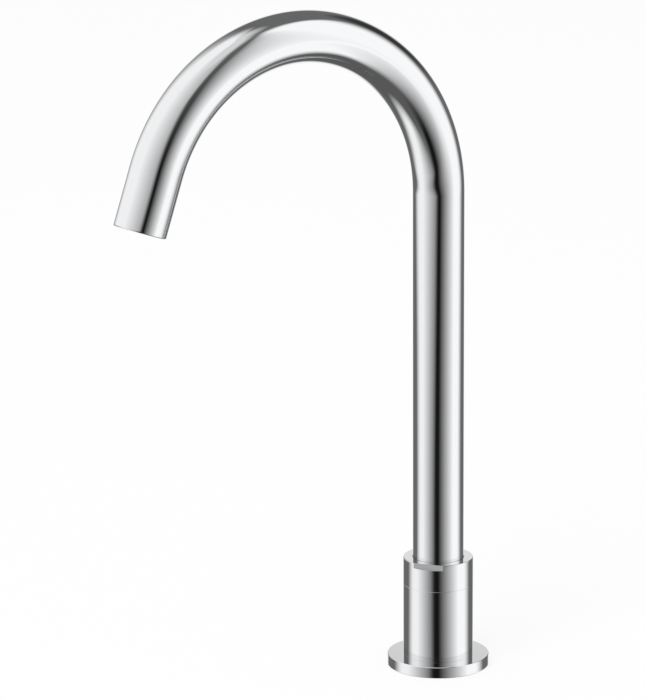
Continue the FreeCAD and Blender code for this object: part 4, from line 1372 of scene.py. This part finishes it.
    def wall(self) -> Shade:
        """What is between the panels: grey, and nearly black at the line and at one post.

        Returns:
            Its level.
        """
        gap = 1.0 - (self.bearing - self.line).size().smooth(*self.gap_side)
        gap = gap * (1.0 - self.height.ramp(*self.gap_top)) * self.height.smooth(*self.gap_foot)
        across = (self.bearing - self.post_middle[0]) / self.post_size[0]
        up = (self.height - self.post_middle[1]) / self.post_size[1]
        post = 1.0 - (across * across + up * up).smooth(*self.post_edge)
        rise = self.height.smooth(*self.wall_foot) * (self.wall_level - self.floor_level)
        shaded = (1.0 - gap * self.gap_depth) * (1.0 - post * self.post_depth)
        return (rise + self.floor_level) * shaded


@dataclass
class Camera:
    """The photograph's viewpoint, in metres."""

    place: tuple[float, float, float] = (1.38409, -1.03827, 0.57993)
    looks_at: tuple[float, float, float] = (0.0, -0.06867, 0.16912)
    roll: float = -0.369
    lens: float = 188.69
    far: float = 100.0

    def build(self) -> None:
        """Set up the camera and make it the scene's."""
        place = Vector(self.place)
        data = bpy.data.cameras.new("camera")
        data.lens = self.lens
        data.clip_end = self.far
        camera = bpy.data.objects.new("camera", data)
        aim = (Vector(self.looks_at) - place).to_track_quat("-Z", "Y").to_matrix()
        turn = aim @ Matrix.Rotation(math.radians(self.roll), 3, "Z")
        camera.matrix_world = Matrix.Translation(place) @ turn.to_4x4()
        bpy.context.scene.collection.objects.link(camera)
        bpy.context.scene.camera = camera


@dataclass
class Studio:
    """The pale floor, the soft key light and the white surroundings."""

    floor_radius: float = 9000.0
    floor_drop: float = 0.2
    floor_facets: int = 96
    deck_hole: float = 17.0
    floor_colour: Colour = (0.95, 0.95, 0.95)
    floor_shade: float = 0.99
    floor_roughness: float = 0.9
    floor_glow: float = 0.85
    mottle: Patches = Patches(3.0, (0.2, 0.8))
    ambient: float = 0.75
    key_power: float = 198.0
    key_size: float = 4.2
    key_place: tuple[float, float, float] = (1.8, -4.5, 4.5)

    def build(self) -> None:
        """Set up everything but the camera and the tent."""
        bpy.context.scene.view_settings.view_transform = "Standard"
        self.build_floor()
        self.build_key()
        self.build_world()

    def build_floor(self) -> None:
        """A wide disc just below the deck's height, open where the shank goes through.

        The camera sees it nearly white; a share of it keeps the tap's soft shadow. From
        below it is clear, so that the clamp shows.
        """
        shape = Shape()
        hole = Matrix.Translation(AXIS * -self.floor_drop)
        Sweep(shape, self.deck_hole, hole, self.floor_facets).push(0.0, self.floor_radius)
        shape.tidy()
        if shape.bm.faces[:][0].normal.z < 0.0:
            bmesh.ops.reverse_faces(shape.bm, faces=shape.bm.faces)
        floor = shape.release("floor")
        floor.data.materials.append(self.floor_material())
        floor.visible_glossy = False

    def floor_material(self) -> bpy.types.Material:
        """Pale and matt from above, clear from below.

        Returns:
            The material.
        """
        material = bpy.data.materials.new("pale_floor")
        tree = Tree(material)
        darker = tuple(part * self.floor_shade for part in self.floor_colour)
        shader = tree.add("ShaderNodeBsdfPrincipled", inputs={
            "Base Color": tree.blend(self.mottle.over(tree), darker, self.floor_colour),
            "Roughness": self.floor_roughness, "Specular IOR Level": 0.0})
        white = tree.add("ShaderNodeEmission", inputs={"Color": WHITE})
        seen = tree.add("ShaderNodeLightPath", output="Is Camera Ray")
        above = tree.add("ShaderNodeMixShader", inputs={
            0: seen * self.floor_glow, 1: shader, 2: white})
        below = tree.add("ShaderNodeNewGeometry", output="Backfacing")
        clear = tree.add("ShaderNodeBsdfTransparent")
        surface = tree.add("ShaderNodeMixShader", inputs={0: below, 1: above, 2: clear})
        tree.add("ShaderNodeOutputMaterial", inputs={"Surface": surface})
        return material

    def build_key(self) -> None:
        """A broad soft lamp above and in front."""
        data = bpy.data.lights.new("key", "AREA")
        data.shape = "DISK"
        data.size = self.key_size
        data.energy = self.key_power
        lamp = bpy.data.objects.new("key", data)
        place = Vector(self.key_place)
        turn = (-place).to_track_quat("-Z", "Y").to_matrix().to_4x4()
        lamp.matrix_world = Matrix.Translation(place) @ turn
        lamp.visible_glossy = False
        bpy.context.scene.collection.objects.link(lamp)

    def build_world(self) -> None:
        """White where it is seen or mirrored, and a little less as light."""
        world = bpy.data.worlds.new("surroundings")
        bpy.context.scene.world = world
        tree = Tree(world)
        seen = tree.add("ShaderNodeLightPath", output="Is Camera Ray")
        outputs = seen.socket.node.outputs
        for name in ("Is Glossy Ray", "Is Transmission Ray"):
            seen = seen.most(Shade(tree, outputs[name]))
        strength = self.ambient + seen * (1.0 - self.ambient)
        back = tree.add("ShaderNodeBackground", inputs={"Color": WHITE, "Strength": strength})
        tree.add("ShaderNodeOutputWorld", inputs={"Surface": back})


def main() -> None:
    """Build the tap, dress it and set the studio up round it."""
    logging.basicConfig(level=logging.INFO, format="%(message)s")
    neck = SwanNeck()
    for assembly in (Base(), CollarNut(), Clamp(), neck, Outlet(neck.tip())):
        assembly.build()
    dress_nodes()
    for part in (Tent(), Studio(), Camera()):
        part.build()


if __name__ == "__main__":
    main()
